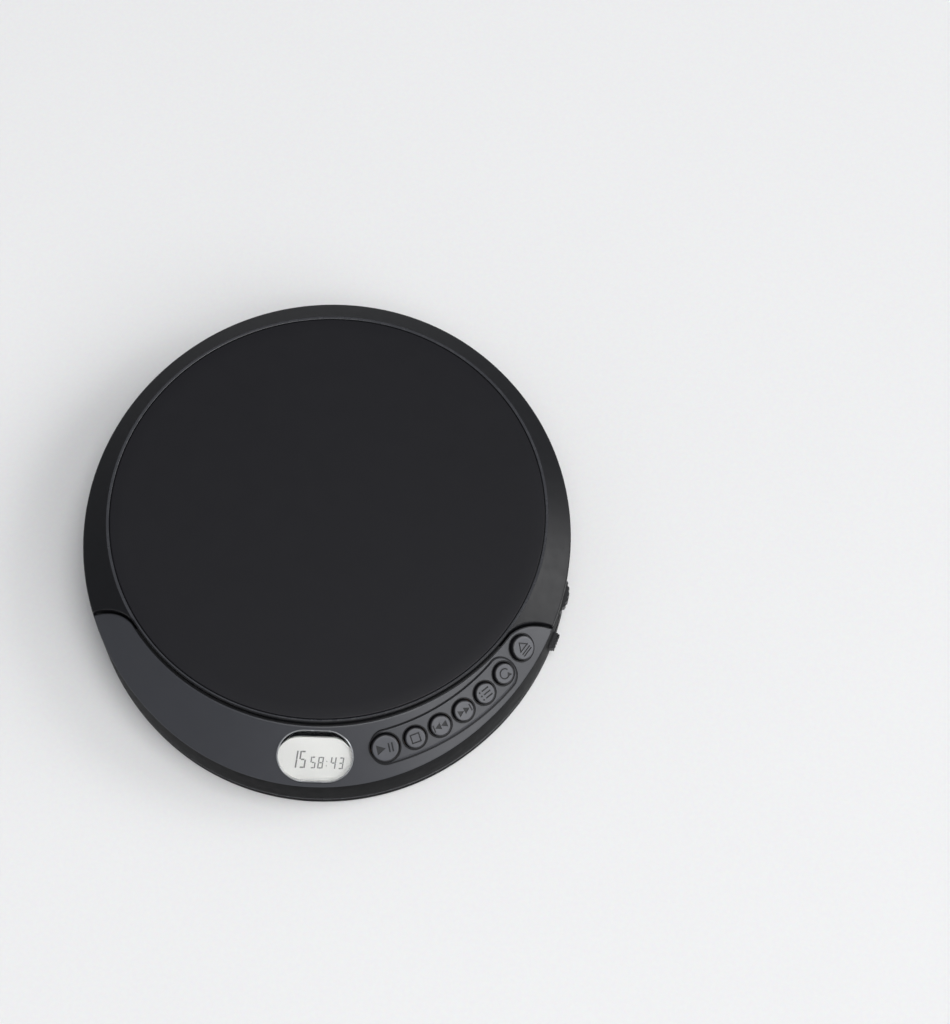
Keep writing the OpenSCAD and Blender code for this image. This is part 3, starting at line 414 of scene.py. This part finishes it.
def material(name, base, rough, spread=0.12, blotch=60.0, grain=5200.0, bump=0.06, rough_spread=0.08,
             metal=0.0, coat=0.0, shine=0.5):
    """Moulded or painted surface: slow colour drift, fine grain and uneven gloss."""
    mat = bpy.data.materials.new(name)
    mat.use_nodes = True
    tree = mat.node_tree
    new, link = tree.nodes.new, tree.links.new
    bsdf = tree.nodes["Principled BSDF"]
    bsdf.inputs["Metallic"].default_value = metal
    bsdf.inputs["Specular IOR Level"].default_value = shine
    bsdf.inputs["Coat Weight"].default_value = coat
    bsdf.inputs["Coat Roughness"].default_value = 0.25
    coord = new("ShaderNodeTexCoord")

    def noise(scale, detail):
        node = new("ShaderNodeTexNoise")
        node.inputs["Scale"].default_value = scale
        node.inputs["Detail"].default_value = detail
        link(coord.outputs["Object"], node.inputs["Vector"])
        return node

    slow, fine, uneven = noise(blotch, 5.0), noise(grain, 3.0), noise(blotch * 6, 8.0)
    ramp = new("ShaderNodeValToRGB")
    dark, light = ramp.color_ramp.elements
    dark.position = NOISE_LOW
    light.position = NOISE_HIGH
    dark.color = [c * (1 - spread) for c in base] + [1]
    light.color = [min(1, c * (1 + spread)) for c in base] + [1]
    link(slow.outputs["Fac"], ramp.inputs["Fac"])
    speck = new("ShaderNodeMix")
    speck.data_type = "RGBA"
    speck.blend_type = "OVERLAY"
    speck.inputs["Factor"].default_value = 0.16
    link(ramp.outputs["Color"], speck.inputs["A"])
    link(fine.outputs["Color"], speck.inputs["B"])
    link(speck.outputs["Result"], bsdf.inputs["Base Color"])
    gloss = new("ShaderNodeMapRange")
    gloss.inputs["From Min"].default_value = NOISE_LOW
    gloss.inputs["From Max"].default_value = NOISE_HIGH
    gloss.inputs["To Min"].default_value = max(0.02, rough - rough_spread)
    gloss.inputs["To Max"].default_value = min(1, rough + rough_spread)
    link(uneven.outputs["Fac"], gloss.inputs["Value"])
    link(gloss.outputs["Result"], bsdf.inputs["Roughness"])
    relief = new("ShaderNodeBump")
    relief.inputs["Strength"].default_value = bump
    relief.inputs["Distance"].default_value = GRAIN_DEPTH
    link(fine.outputs["Fac"], relief.inputs["Height"])
    link(relief.outputs["Normal"], bsdf.inputs["Normal"])
    return mat


def clear_material(name, tint, rough):
    mat = material(name, tint, rough, spread=0.02, bump=0.01, rough_spread=0.02)
    bsdf = mat.node_tree.nodes["Principled BSDF"]
    bsdf.inputs["Transmission Weight"].default_value = 1.0
    bsdf.inputs["IOR"].default_value = 1.18
    return mat


# Finishes of the record's slots
case_black = material("case_black", (0.0055, 0.0056, 0.0064), 0.46, spread=0.06, grain=4200, bump=0.14,
                      rough_spread=0.03, shine=0.016)
# case_grey is the same black plastic as case_black, painted lighter as the sheen on the panel and key strip
# that face the lamps
case_grey = material("case_grey", (0.034, 0.0355, 0.0420), 0.40, spread=0.03, grain=9000, bump=0.08,
                     rough_spread=0.03, shine=0.6)
lid_satin = material("lid_satin", (0.0070, 0.0072, 0.0086), 0.36, spread=0.05, grain=6000, bump=0.10,
                     rough_spread=0.03, shine=0.27)
lid_soft = material("lid_soft", (0.0100, 0.0099, 0.0121), 0.46, spread=0.03, blotch=25, bump=0.18,
                    rough_spread=0.03, shine=0.2)
key_grey = material("key_grey", (0.068, 0.070, 0.080), 0.38, spread=0.04, grain=9000, bump=0.08,
                    rough_spread=0.03, shine=0.6)
control_black = material("control_black", (0.010, 0.010, 0.012), 0.38, grain=6000, bump=0.16)
window_clear = clear_material("window_clear", (1.0, 1.0, 1.0), 0.04)
lcd_grey = material("lcd_grey", (0.90, 0.90, 0.87), 0.45, spread=0.03, grain=12000, bump=0.03)
finishes = {
    "case_black": case_black,
    "case_grey": case_grey,
    "lid_satin": lid_satin,
    "lid_soft": lid_soft,
    "key_grey": key_grey,
    "control_black": control_black,
    "window_clear": window_clear,
    "lcd_grey": lcd_grey,
    "inner_black": material("inner_black", (0.014, 0.0145, 0.016), 0.52, grain=3600, bump=0.30),
    "hub_black": material("hub_black", (0.012, 0.012, 0.014), 0.30, grain=7000, bump=0.10),
    "steel": material("steel", (0.58, 0.57, 0.55), 0.26, spread=0.06, grain=9000, bump=0.08, metal=1.0),
    "foot_rubber": material("foot_rubber", (0.020, 0.020, 0.021), 0.80, grain=3000, bump=0.40),
    "board_green": material("board_green", (0.018, 0.085, 0.040), 0.34, spread=0.2, blotch=300, grain=2600,
                            bump=0.2, coat=0.4),
    "capacitor_sleeve": material("capacitor_sleeve", (0.015, 0.018, 0.045), 0.35, grain=5000, bump=0.1),
    "flex_film": material("flex_film", (0.12, 0.05, 0.016), 0.32, spread=0.15, grain=5000, bump=0.1,
                          coat=0.3),
    "chassis_metal": material("chassis_metal", (0.42, 0.43, 0.44), 0.36, spread=0.10, grain=5000, bump=0.2,
                              metal=0.9),
    "gear_ivory": material("gear_ivory", (0.62, 0.58, 0.46), 0.42, spread=0.06, grain=6000, bump=0.1),
    "lens_blue": material("lens_blue", (0.03, 0.05, 0.16), 0.06, spread=0.3, grain=9000, bump=0.01,
                          coat=1.0),
}

# Finishes of marks, and colours painted as highlights on edges and as shade in gaps
ink = material("ink_dark", (0.008, 0.0085, 0.010), 0.55, grain=9000, bump=0.1)
segment = material("lcd_segment", (0.22, 0.225, 0.215), 0.5, spread=0.06, grain=12000, bump=0.02)
# Pale rim painted as the highlight on the edge of the display's clear lens
rim_painted_highlight = material("rim_painted_highlight", (0.42, 0.43, 0.44), 0.22, spread=0.05, grain=9000, bump=0.03, metal=0.6)
# Near black, darker than the case: painted as the shade in key holes, slots, bores and the strip's groove,
# whose cut faces take it, and as the dark sheet behind the display
painted_shade = material("painted_shade_black", (0.003, 0.003, 0.0035), 0.5, grain=6000, bump=0.15, shine=0.1)
well = material("well_black", (0.008, 0.0082, 0.0095), 0.5, spread=0.05, grain=4200, bump=0.2,
                rough_spread=0.04, shine=0.25)
# Lighter satin painted as the highlight along the lid's bore edge and the lip under the seam
painted_edge_highlight = material("painted_edge_highlight", (0.030, 0.031, 0.036), 0.26, spread=0.05, grain=9000, bump=0.04,
                      shine=0.7)
paper = material("floor_paper", (0.80, 0.80, 0.80), 0.85, spread=0.01, blotch=4, grain=900, bump=0.02)

for node in nodes.values():
    for slot in node.material_slots:
        if slot.material:
            slot.material = finishes.get(slot.material.name.split(".")[0], slot.material)
for slot in nodes["upper_case"].material_slots:
    slot.material = well


# Upper case skin: the sloping front panel, its horns and the side wall
PANEL_LEAST = 0.25
PANEL_T = 1.5
PANEL_EDGE = 0.7
LEDGE_W = 1.2
LEDGE_T = 0.9
LEDGE_EDGE = 0.4
WALL_T = 0.9
WALL_DROP = 0.7
LAP = 0.5
SEAM_EDGE = 0.2
WALL_CUT = 3
WALL_CLEAR = 1
PANEL_CUT = (-6, 4)


def case_sizes(a, az):
    """Inner and outer edge, each as distance and height, and whether the panel is there."""
    ro = outline_r(az)
    ri = panel_in(abs(a))
    if ri < ro - PANEL_LEAST:
        return ri, panel_z(ri), ro, panel_z(ro), True
    return ro - LEDGE_W, LEDGE, ro, LEDGE, False


def case_profile(a, az):
    """Section of the skin: the panel or the ledge, then down the wall and back up inside."""
    ri, zi, ro, zo, front = case_sizes(a, az)
    wall = min(WALL_T, 0.45 * (ro - ri))
    lap = min(LAP, 0.3 * (ro - ri))
    low = zi - (PANEL_T if front else LEDGE_T)
    return rounded([
        (ri, low, 0),
        (ri, zi, LEDGE_EDGE),
        (ro, zo, PANEL_EDGE if front else LEDGE_EDGE),
        (ro, SEAM, SEAM_EDGE),
        (ro - wall, SEAM, 0),
        (ro - wall, zo - WALL_DROP, 0),
        (ri + lap, low, 0),
    ])


def case_mark(k, a):
    """Panel in a lighter grey painted as its sheen, up to the middle of its outer edge, and black below."""
    front = case_sizes(a, radians(a - 90))[-1]
    return 0 if front and 1 <= k < 1 + CURVE + CURVE // 2 else 1


def slot_tool(y0, y1, z0, z1):
    """Square opening through the wall, in the wall's own place."""
    loop = [(-WALL_CUT, y0), (WALL_CLEAR, y0), (WALL_CLEAR, y1), (-WALL_CUT, y1)]
    return prism("tool", [loop], z0, z1, [painted_shade])


def peg_tool(r, low, high):
    return lathe("tool", [(0, low), (r, low), (r, high), (0, high)], [painted_shade])


def bore_tool(r):
    """Round opening through the wall for a socket."""
    tool = peg_tool(r, -WALL_CUT, WALL_CUT)
    return place(tool, shift(0, 0, SOCKET_Z) @ turn(pi / 2, "Y"))


def trough_tool(steps=16, room=0.35, past=1.5):
    """Round hollow at the hinge that the rear of the lid swings down into."""
    half = sqrt(END_R**2 - (HINGE_Y - END_Y) ** 2) + past
    rise = shoulder_z(END_R + END_Y - SPIN_Y) - LID_LOW
    profile = [(0, -half)]
    for i in range(-steps, steps + 1):
        x = half * i / steps
        back = max(0, END_Y + sqrt(END_R**2 - x * x) - HINGE_Y)
        profile.append((hypot(back, rise) + room, x))
    tool = lathe("tool", profile + [(0, half)], [painted_shade])
    return place(tool, shift(0, HINGE_Y, LID_LOW) @ turn(pi / 2, "Y"))


def key_tools():
    return [place(peg_tool(dia / 2 + KEY_ROOM, *PANEL_CUT), key_place(angle)) for angle, dia in KEYS.values()]


def strip_point(along, across, height):
    """Place on the strip: along its arc in degrees, across it in plan, up from the panel."""
    a = radians(along)
    x, y = (KEY_R + across) * cos(a), (KEY_R + across) * sin(a) - KEY_BACK
    return x, SPIN_Y + y, panel_z(hypot(x, y)) + height / cos(radians(PANEL_DEG))


def strip_mesh(name, half, mats, n=90, ends=24, bevel=8):
    """Strip with round ends along the keys' arc, from the play key to the mode key."""
    first, last = KEYS["play"][0], KEYS["mode"][0]
    span, deg = last - first, degrees(1 / KEY_R)
    loop = [(first + span * i / n, 0) for i in range(n + 1)]
    loop += [(last, 180 * i / ends) for i in range(1, ends)]
    loop += [(last - span * i / n, 180) for i in range(n + 1)]
    loop += [(first, 180 + 180 * i / ends) for i in range(1, ends)]
    levels = [(m, STRIP_FOOT) for m in (0, 0.5, 1)] + [(1, 0)]
    for i in range(1, bevel + 1):
        t = i / bevel * pi / 2
        levels.append((1 - STRIP_EDGE * (1 - cos(t)) / half, STRIP_H * sin(t)))
    levels += [(m, STRIP_H) for m in (0.6, 0.3, 0)]
    verts = []
    for m, h in levels:
        for a, way in loop:
            f = radians(way)
            verts.append(strip_point(a + m * half * sin(f) * deg, m * half * cos(f), h))
    return add_mesh(name, verts, band(len(levels), len(loop)), mats, weld=True)


skin = ring("case_skin", case_profile, [case_grey, case_black, painted_shade], case_mark)
tools = key_tools()
tools.append(strip_mesh("tool", GROOVE_HALF, [painted_shade]))
tools.append(place(prism("tool", [stadium(*HOLE_SIZE)], *PANEL_CUT, [painted_shade]), LCD))
tools.append(place(slot_tool(*VOLUME_SLOT), wall_place(VOLUME_Y)))
tools.append(place(slot_tool(*HOLD_SLOT), wall_place(HOLD_Y)))
tools.append(place(bore_tool(JACK_R), wall_place(JACK_Y)))
tools.append(place(bore_tool(POWER_R), wall_place(POWER_Y, -1)))
tools.append(trough_tool())
# Cut faces take the near black painted as the shade in holes, slots and the groove
cut(skin, tools)
shade(skin.data)
cone_normals(skin, PANEL_DEG, panel_z, 2)
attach(skin, "case")


# Lower case skin, with a round lip under the seam painted lighter as a highlight
BASE_T = 1
LIP_EDGE = 0.3
BASE_EDGE = 0.5


def base_profile(a, az):
    ro = outline_r(az)
    ri = ro - BASE_T
    return rounded([
        (ri, BASE_TOP, 0),
        (ro, BASE_TOP, LIP_EDGE),
        (ro, BASE_LOW, BASE_EDGE),
        (ri, BASE_LOW, 0),
    ])


base = ring("base_skin", base_profile, [case_black, painted_edge_highlight], lambda k, a: int(1 <= k < CURVE))
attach(base, "case")

# Raised strip in its groove
# The strip takes the panel's grey, painted as sheen
strip = strip_mesh("key_strip", STRIP_HALF, [case_grey, painted_shade])
cut(strip, key_tools())
shade(strip.data)
cone_normals(strip, PANEL_DEG, strip_z, 1)
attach(strip, "case")


# Symbols in millimetres, read with the spindle at the top
def bar(x0, y0, x1, y1):
    return [(x0, y0), (x1, y0), (x1, y1), (x0, y1)]


def arrow(x, size, way=1):
    return [(x, -size / 2), (x + way * size * 0.86, 0), (x, size / 2)]


def stroke(a, b, w=0.3):
    """Straight line with square ends that reach past its corners."""
    a, b = Vector(a), Vector(b)
    along = (b - a).normalized() * w / 2
    side = Vector((-along.y, along.x))
    return [tuple(q) for q in (a - along - side, b + along - side, b + along + side, a - along + side)]


def strokes(points, closed=True):
    ends = points[1:] + points[:1] if closed else points[1:]
    return [stroke(a, b) for a, b in zip(points, ends)]


def arc(r, start, end, n=14):
    turns = [radians(start + (end - start) * i / n) for i in range(n + 1)]
    return [(r * cos(t), r * sin(t)) for t in turns]


def tri(size, y):
    return [(-size, y - size * 0.6), (size, y - size * 0.6), (0, y + size * 0.75)]


def list_lines():
    """Three lines, each with a dot before it."""
    out = []
    for low, high in ((0.75, 1.1), (-0.17, 0.17), (-1.1, -0.75)):
        out += [bar(-1.3, low, -0.9, high), bar(-0.5, low, 1.3, high)]
    return out


def sideways(loops, size=1):
    """Turns symbols so that their top is up the slope."""
    return [[(-y * size, x * size) for x, y in loop] for loop in loops]


ICONS = {
    "play": [arrow(-1.9, 2.3), bar(0.65, -1.05, 1.0, 1.05), bar(1.4, -1.05, 1.75, 1.05)],
    "stop": strokes(bar(-0.95, -0.95, 0.95, 0.95)),
    "back": [bar(-1.75, -0.85, -1.45, 0.85), arrow(0.0, 1.6, -1), arrow(1.45, 1.6, -1)],
    "forward": [bar(1.45, -0.85, 1.75, 0.85), arrow(0.0, 1.6), arrow(-1.45, 1.6)],
    "program": list_lines(),
    "mode": strokes(arc(1.1, 20, 300), False) + [[(0.05, -1.05), (1.3, -1.3), (0.8, -0.2)]],
    "open": strokes(tri(1.2, 0.65)) + [bar(-1.35, -0.95, 1.35, -0.65), bar(-1.35, -1.5, 1.35, -1.2)],
}


# Key caps: black skirts with grey, slightly hollow tops that the symbols are cut into; the skirts and the
# tops' outer edges are painted black as the shade round each key
# The edge is given as insets and drops, and the hollow as shares of the radius and drops
CAP_FOOT = 0.1
CAP_EDGE = ((0, 0.42), (0.05, 0.24), (0.16, 0.1), (0.36, 0.02), (0.6, 0))
CAP_HOLLOW = ((0.5, 0.03), (0, 0.05))
# Faces below this count, the skirt and the top's outer edge, are painted black as shade
CAP_PAINTED_SHADE = 6
for name, (angle, dia) in KEYS.items():
    r = dia / 2
    profile = [(0, KEY_LOW), (r - CAP_FOOT, KEY_LOW), (r, KEY_LOW + CAP_FOOT)]
    profile += [(r - inset, KEY_TOP - drop) for inset, drop in CAP_EDGE]
    profile += [(r * share, KEY_TOP - drop) for share, drop in CAP_HOLLOW]
    cap = lathe(name + "_cap", profile, [key_grey, control_black, ink], lambda k: int(k < CAP_PAINTED_SHADE))
    icon = sideways(ICONS[name], ICON_SIZE)
    cut(cap, [prism("tool", icon, KEY_TOP - ICON_DEPTH, KEY_TOP + 1, [ink])], True)
    shade(cap.data, CAP_SHARP)
    place(cap, key_place(angle))
    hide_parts(name + "_button")
    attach(cap, name + "_key")


# Display: a rim painted pale as the highlight on the lens edge, a clear pane, the pale cell behind it, a dark
# sheet painted as the dark reflection at its top, and its digits
def sheet_pane(name, size, levels, edge, mat, steps=6):
    """Plate with round ends and a rounded rim."""
    low, high = levels
    outline = stadium(*size)
    rows = [[(x * m, y * m, low) for x, y in outline] for m in (0, 0.6, 1)]
    rows.append([(x, y, high - edge) for x, y in outline])
    for i in range(1, steps + 1):
        t = i / steps * pi / 2
        inset = 2 * edge * (1 - cos(t))
        small = stadium(size[0] - inset, size[1] - inset)
        rows.append([(x, y, high - edge + edge * sin(t)) for x, y in small])
    rows += [[(x * m, y * m, high) for x, y in outline] for m in (0.6, 0)]
    return add_mesh(name, sum(rows, []), band(len(rows), len(outline)), [mat], weld=True)


def bead(name, size, r, z, mat, n=10):
    """Thin round rim that follows the display's opening."""
    rows = []
    for i in range(n):
        t = 2 * pi * i / n
        out = 2 * r * cos(t)
        rows.append([(x, y, z + r * sin(t)) for x, y in stadium(size[0] + out, size[1] + out)])
    return add_mesh(name, sum(rows, []), band(n, len(rows[0]), True), [mat])


# The rim's pale colour is a painted highlight on the lens edge
rim = place(bead("display_rim", RIM_SIZE, RIM_R, RIM_Z, rim_painted_highlight), LCD)
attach(rim, "case")
pane = place(sheet_pane("display_pane", PANE_SIZE, PANE_Z, PANE_EDGE, window_clear), LCD)
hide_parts("lcd_window")
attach(pane, "case")
cell = sheet_pane("display_cell", CELL_SIZE, CELL_Z, THIN_EDGE, lcd_grey)
place(cell, LCD @ shift(CELL_DOWN, 0, 0))
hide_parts("lcd_glass")
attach(cell, "case")
# Dark sheet painted as the reflection at the top of the display
reflection_sheet = place(sheet_pane("display_dark_reflection", DARK_REFLECTION_SIZE, DARK_REFLECTION_Z, THIN_EDGE, painted_shade), LCD)
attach(reflection_sheet, "case")

# Digits: the bars of each, the width, height and stroke of two sizes, and the places along the line
SEGMENTS = {"1": "bc", "3": "abgcd", "4": "fgbc", "5": "afgcd", "8": "abcdefg"}
BIG, SMALL = (1.9, 5.0, 0.42), (1.5, 3.4, 0.34)
DIGITS = (
    ("1", -7.2, BIG),
    ("5", -4.8, BIG),
    ("5", -1.6, SMALL),
    ("8", 0.5, SMALL),
    ("4", 4.0, SMALL),
    ("3", 6.1, SMALL),
)
COLON = ((2.95, 0.7), (3.1, 2.0))
DOT = 0.25
LINE = -3.9
LEAN = 0.14


def digit(symbol, x, size):
    """Bars of one digit, leaning to the right."""
    w, h, s = size
    gap, half = 0.06, h / 2
    left, right = x + s + gap, x + w - s - gap
    bars = {
        "a": bar(left, h - s, right, h),
        "b": bar(x + w - s, half + gap, x + w, h - gap),
        "c": bar(x + w - s, gap, x + w, half - gap),
        "d": bar(left, 0, right, s),
        "e": bar(x, gap, x + s, half - gap),
        "f": bar(x, half + gap, x + s, h - gap),
        "g": bar(left, half - s / 2, right, half + s / 2),
    }
    return [[(px + py * LEAN, LINE + py) for px, py in bars[k]] for k in SEGMENTS[symbol]]


loops = []
for symbol, x, size in DIGITS:
    loops += digit(symbol, x, size)
loops += [bar(x, LINE + y, x + DOT, LINE + y + DOT) for x, y in COLON]
digits = prism("display_digits", sideways(loops), CELL_Z[1], CELL_Z[1] + BAR_T, [segment])
place(digits, LCD)
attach(digits, "case")

# Lid: the flat soft disc in its bore, and the satin shoulder round it
RIM_W = 0.3
RIM_T = 1.6
RIM_LOW = 24.42
BORE_T = 0.18
BORE_EDGE = 0.16
FLAT_EDGE = 0.12
SHOULDER_T = 0.9
SHOULDER_EDGE = 0.9
SHOULDER_WALL = 0.7
DISC_EDGE = ((0.2, DISC_LOW), (0, 25.6), (0, 25.95), (0.05, 26.08), (0.15, 26.16), (0.35, TOP))
disc_profile = [(0, DISC_LOW)]
disc_profile += [(DISC_R - inset, z) for inset, z in DISC_EDGE]
disc_profile += [(r, TOP) for r in (58, 40, 20, 0)]
disc = lathe("lid_disc", disc_profile, [lid_soft], steps=360)
place(disc, shift(0, SPIN_Y, 0))
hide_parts("lid_panel")
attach(disc, "lid")


def lid_profile(a, az):
    """Section of the shoulder, which ends at a thin rim over the panel."""
    ro = outline_r(az)
    rb = lid_out(abs(a), ro)
    flat = min(LID_R, rb - RIM_W)
    zb = shoulder_z(max(rb, LID_R + RIM_W))
    low = LID_LOW if rb > ro - 0.01 else max(LID_LOW, min(RIM_LOW, zb - RIM_T))
    inner = max(rb - SHOULDER_WALL, BORE_R + BORE_T)
    return rounded([
        (BORE_R, BORE_LOW, 0),
        (BORE_R, TOP, BORE_EDGE),
        (flat, TOP, FLAT_EDGE),
        (rb, zb, SHOULDER_EDGE),
        (rb, low, SEAM_EDGE),
        (inner, low, 0),
        (inner, max(low + 0.1, zb - SHOULDER_T), 0),
    ])


# The rounded edge of the bore is painted lighter as a highlight
lid = ring("lid_skin", lid_profile, [lid_satin, painted_edge_highlight], lambda k, a: int(1 <= k <= CURVE))
cone_normals(lid, SHOULDER_DEG, shoulder_z)
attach(lid, "lid")


# CAD pieces that stay: clean shading, and those under a skin drawn in by a hair
def draw_in(tree, geometry, shrink, base, squeeze):
    """Draws points in towards the spindle, and lowers what is above base by a share of its height there."""
    new, link = tree.nodes.new, tree.links.new

    def sums(operation, value, first, third=None):
        node = new("ShaderNodeMath")
        node.operation = operation
        node.inputs[1].default_value = value
        link(first, node.inputs[0])
        if third:
            link(third, node.inputs[2])
        return node

    spot = new("GeometryNodeInputPosition")
    split = new("ShaderNodeSeparateXYZ")
    join = new("ShaderNodeCombineXYZ")
    link(spot.outputs["Position"], split.inputs["Vector"])
    for axis, middle in (("X", 0.0), ("Y", SPIN_Y * MM)):
        scale = sums("MULTIPLY_ADD", 1 - shrink, split.outputs[axis])
        scale.inputs[2].default_value = middle * shrink
        link(scale.outputs[0], join.inputs[axis])
    above = sums("SUBTRACT", base * MM, split.outputs["Z"])
    least = sums("MAXIMUM", 0.0, above.outputs[0])
    lower = sums("MULTIPLY_ADD", -squeeze, least.outputs[0], split.outputs["Z"])
    link(lower.outputs[0], join.inputs["Z"])
    moved = new("GeometryNodeSetPosition")
    link(geometry, moved.inputs["Geometry"])
    link(join.outputs["Vector"], moved.inputs["Position"])
    return moved.outputs["Geometry"]


def clean_group(name, shrink=0, base=0, squeeze=0):
    """Merges the mesh, draws it in where asked, and shades it by angle."""
    tree = bpy.data.node_groups.new(name, "GeometryNodeTree")
    tree.interface.new_socket("Geometry", in_out="INPUT", socket_type="NodeSocketGeometry")
    tree.interface.new_socket("Geometry", in_out="OUTPUT", socket_type="NodeSocketGeometry")
    new, link = tree.nodes.new, tree.links.new
    start, end = new("NodeGroupInput"), new("NodeGroupOutput")
    merge = new("GeometryNodeMergeByDistance")
    merge.inputs["Distance"].default_value = MERGE
    plain = new("GeometryNodeRemoveAttribute")
    plain.inputs["Name"].default_value = "custom_normal"
    link(start.outputs[0], merge.inputs["Geometry"])
    link(merge.outputs["Geometry"], plain.inputs["Geometry"])
    last = plain.outputs["Geometry"]
    if shrink:
        last = draw_in(tree, last, shrink, base, squeeze)
    angle, less = new("GeometryNodeInputMeshEdgeAngle"), new("FunctionNodeCompare")
    less.operation = "LESS_THAN"
    less.inputs["B"].default_value = radians(CAD_SHARP)
    faces, edges = new("GeometryNodeSetShadeSmooth"), new("GeometryNodeSetShadeSmooth")
    edges.domain = "EDGE"
    link(last, faces.inputs["Geometry"])
    link(faces.outputs["Geometry"], edges.inputs["Geometry"])
    link(angle.outputs["Unsigned Angle"], less.inputs["A"])
    link(less.outputs["Result"], edges.inputs["Shade Smooth"])
    link(edges.outputs["Geometry"], end.inputs[0])
    return tree


HAIR = 0.0017
groups = {
    "upper_case": clean_group("clean_case", HAIR, 18.2, 0.028),
    "lid_shell": clean_group("clean_lid", HAIR, 20.2, 0.022),
    "lower_case": clean_group("clean_base", HAIR, TOP, 0),
}
plain_group = clean_group("clean")
for name, node in nodes.items():
    node.modifiers.new("clean", "NODES").node_group = groups.get(name, plain_group)

# Floor and light, in metres and watts
bpy.ops.mesh.primitive_plane_add(size=14)
floor = bpy.context.object
floor.name = "floor"
floor.data.materials.append(paper)
world = bpy.data.worlds.new("studio")
scene.world = world
world.use_nodes = True
sky = world.node_tree.nodes["Background"]
sky.inputs["Color"].default_value = (0.93, 0.95, 1.0, 1)
sky.inputs["Strength"].default_value = 0.30


def lamp(name, spot, size, power, aim=(0, 0, 0.012)):
    """Square soft lamp that faces the player."""
    data = bpy.data.lights.new(name, "AREA")
    data.size = size
    data.energy = power
    obj = bpy.data.objects.new(name, data)
    obj.location = spot
    obj.rotation_euler = (Vector(aim) - Vector(spot)).to_track_quat("-Z", "Y").to_euler()
    scene.collection.objects.link(obj)


lamp("side_light", (7.50, -6.30, 6.90), 7.5, 470.0)
lamp("right_light", (10.30, 1.44, 6.00), 6.0, 520.0)
lamp("front_light", (0.10, -0.85, 1.90), 1.0, 9.0)
lamp("top_light", (0.45, -0.10, 1.95), 0.9, 12.0)

# Camera, in metres and in pixels of the photograph: AIM on the player shows at SPOT
PHOTO_W, PHOTO_H = 950, 1024
SENSOR = 36
FOCAL_PX = 2240
ELEVATION = radians(66.5)
ROLL = radians(1.7)
DISTANCE = 0.652
AIM = Vector((0, 0, 0.013))
SPOT = (329.0, 544.0)
shot = bpy.data.cameras.new("shot")
shot.sensor_width = SENSOR
shot.lens = FOCAL_PX * SENSOR / PHOTO_H
shot.clip_start = 0.01
camera = bpy.data.objects.new("shot", shot)
scene.collection.objects.link(camera)
scene.camera = camera
ahead = Vector((0, cos(ELEVATION), -sin(ELEVATION)))
over = Vector((0, sin(ELEVATION), cos(ELEVATION)))
right = Vector((cos(ROLL), 0, 0)) + over * sin(ROLL)
up = Vector((-sin(ROLL), 0, 0)) + over * cos(ROLL)
off_x = (SPOT[0] - PHOTO_W / 2) / FOCAL_PX
off_y = (PHOTO_H / 2 - SPOT[1]) / FOCAL_PX
eye = AIM - (ahead + right * off_x + up * off_y) * DISTANCE
facing = Matrix((right, up, -ahead)).transposed().to_4x4()
camera.matrix_world = Matrix.Translation(eye) @ facing

scene.view_settings.view_transform = "Standard"
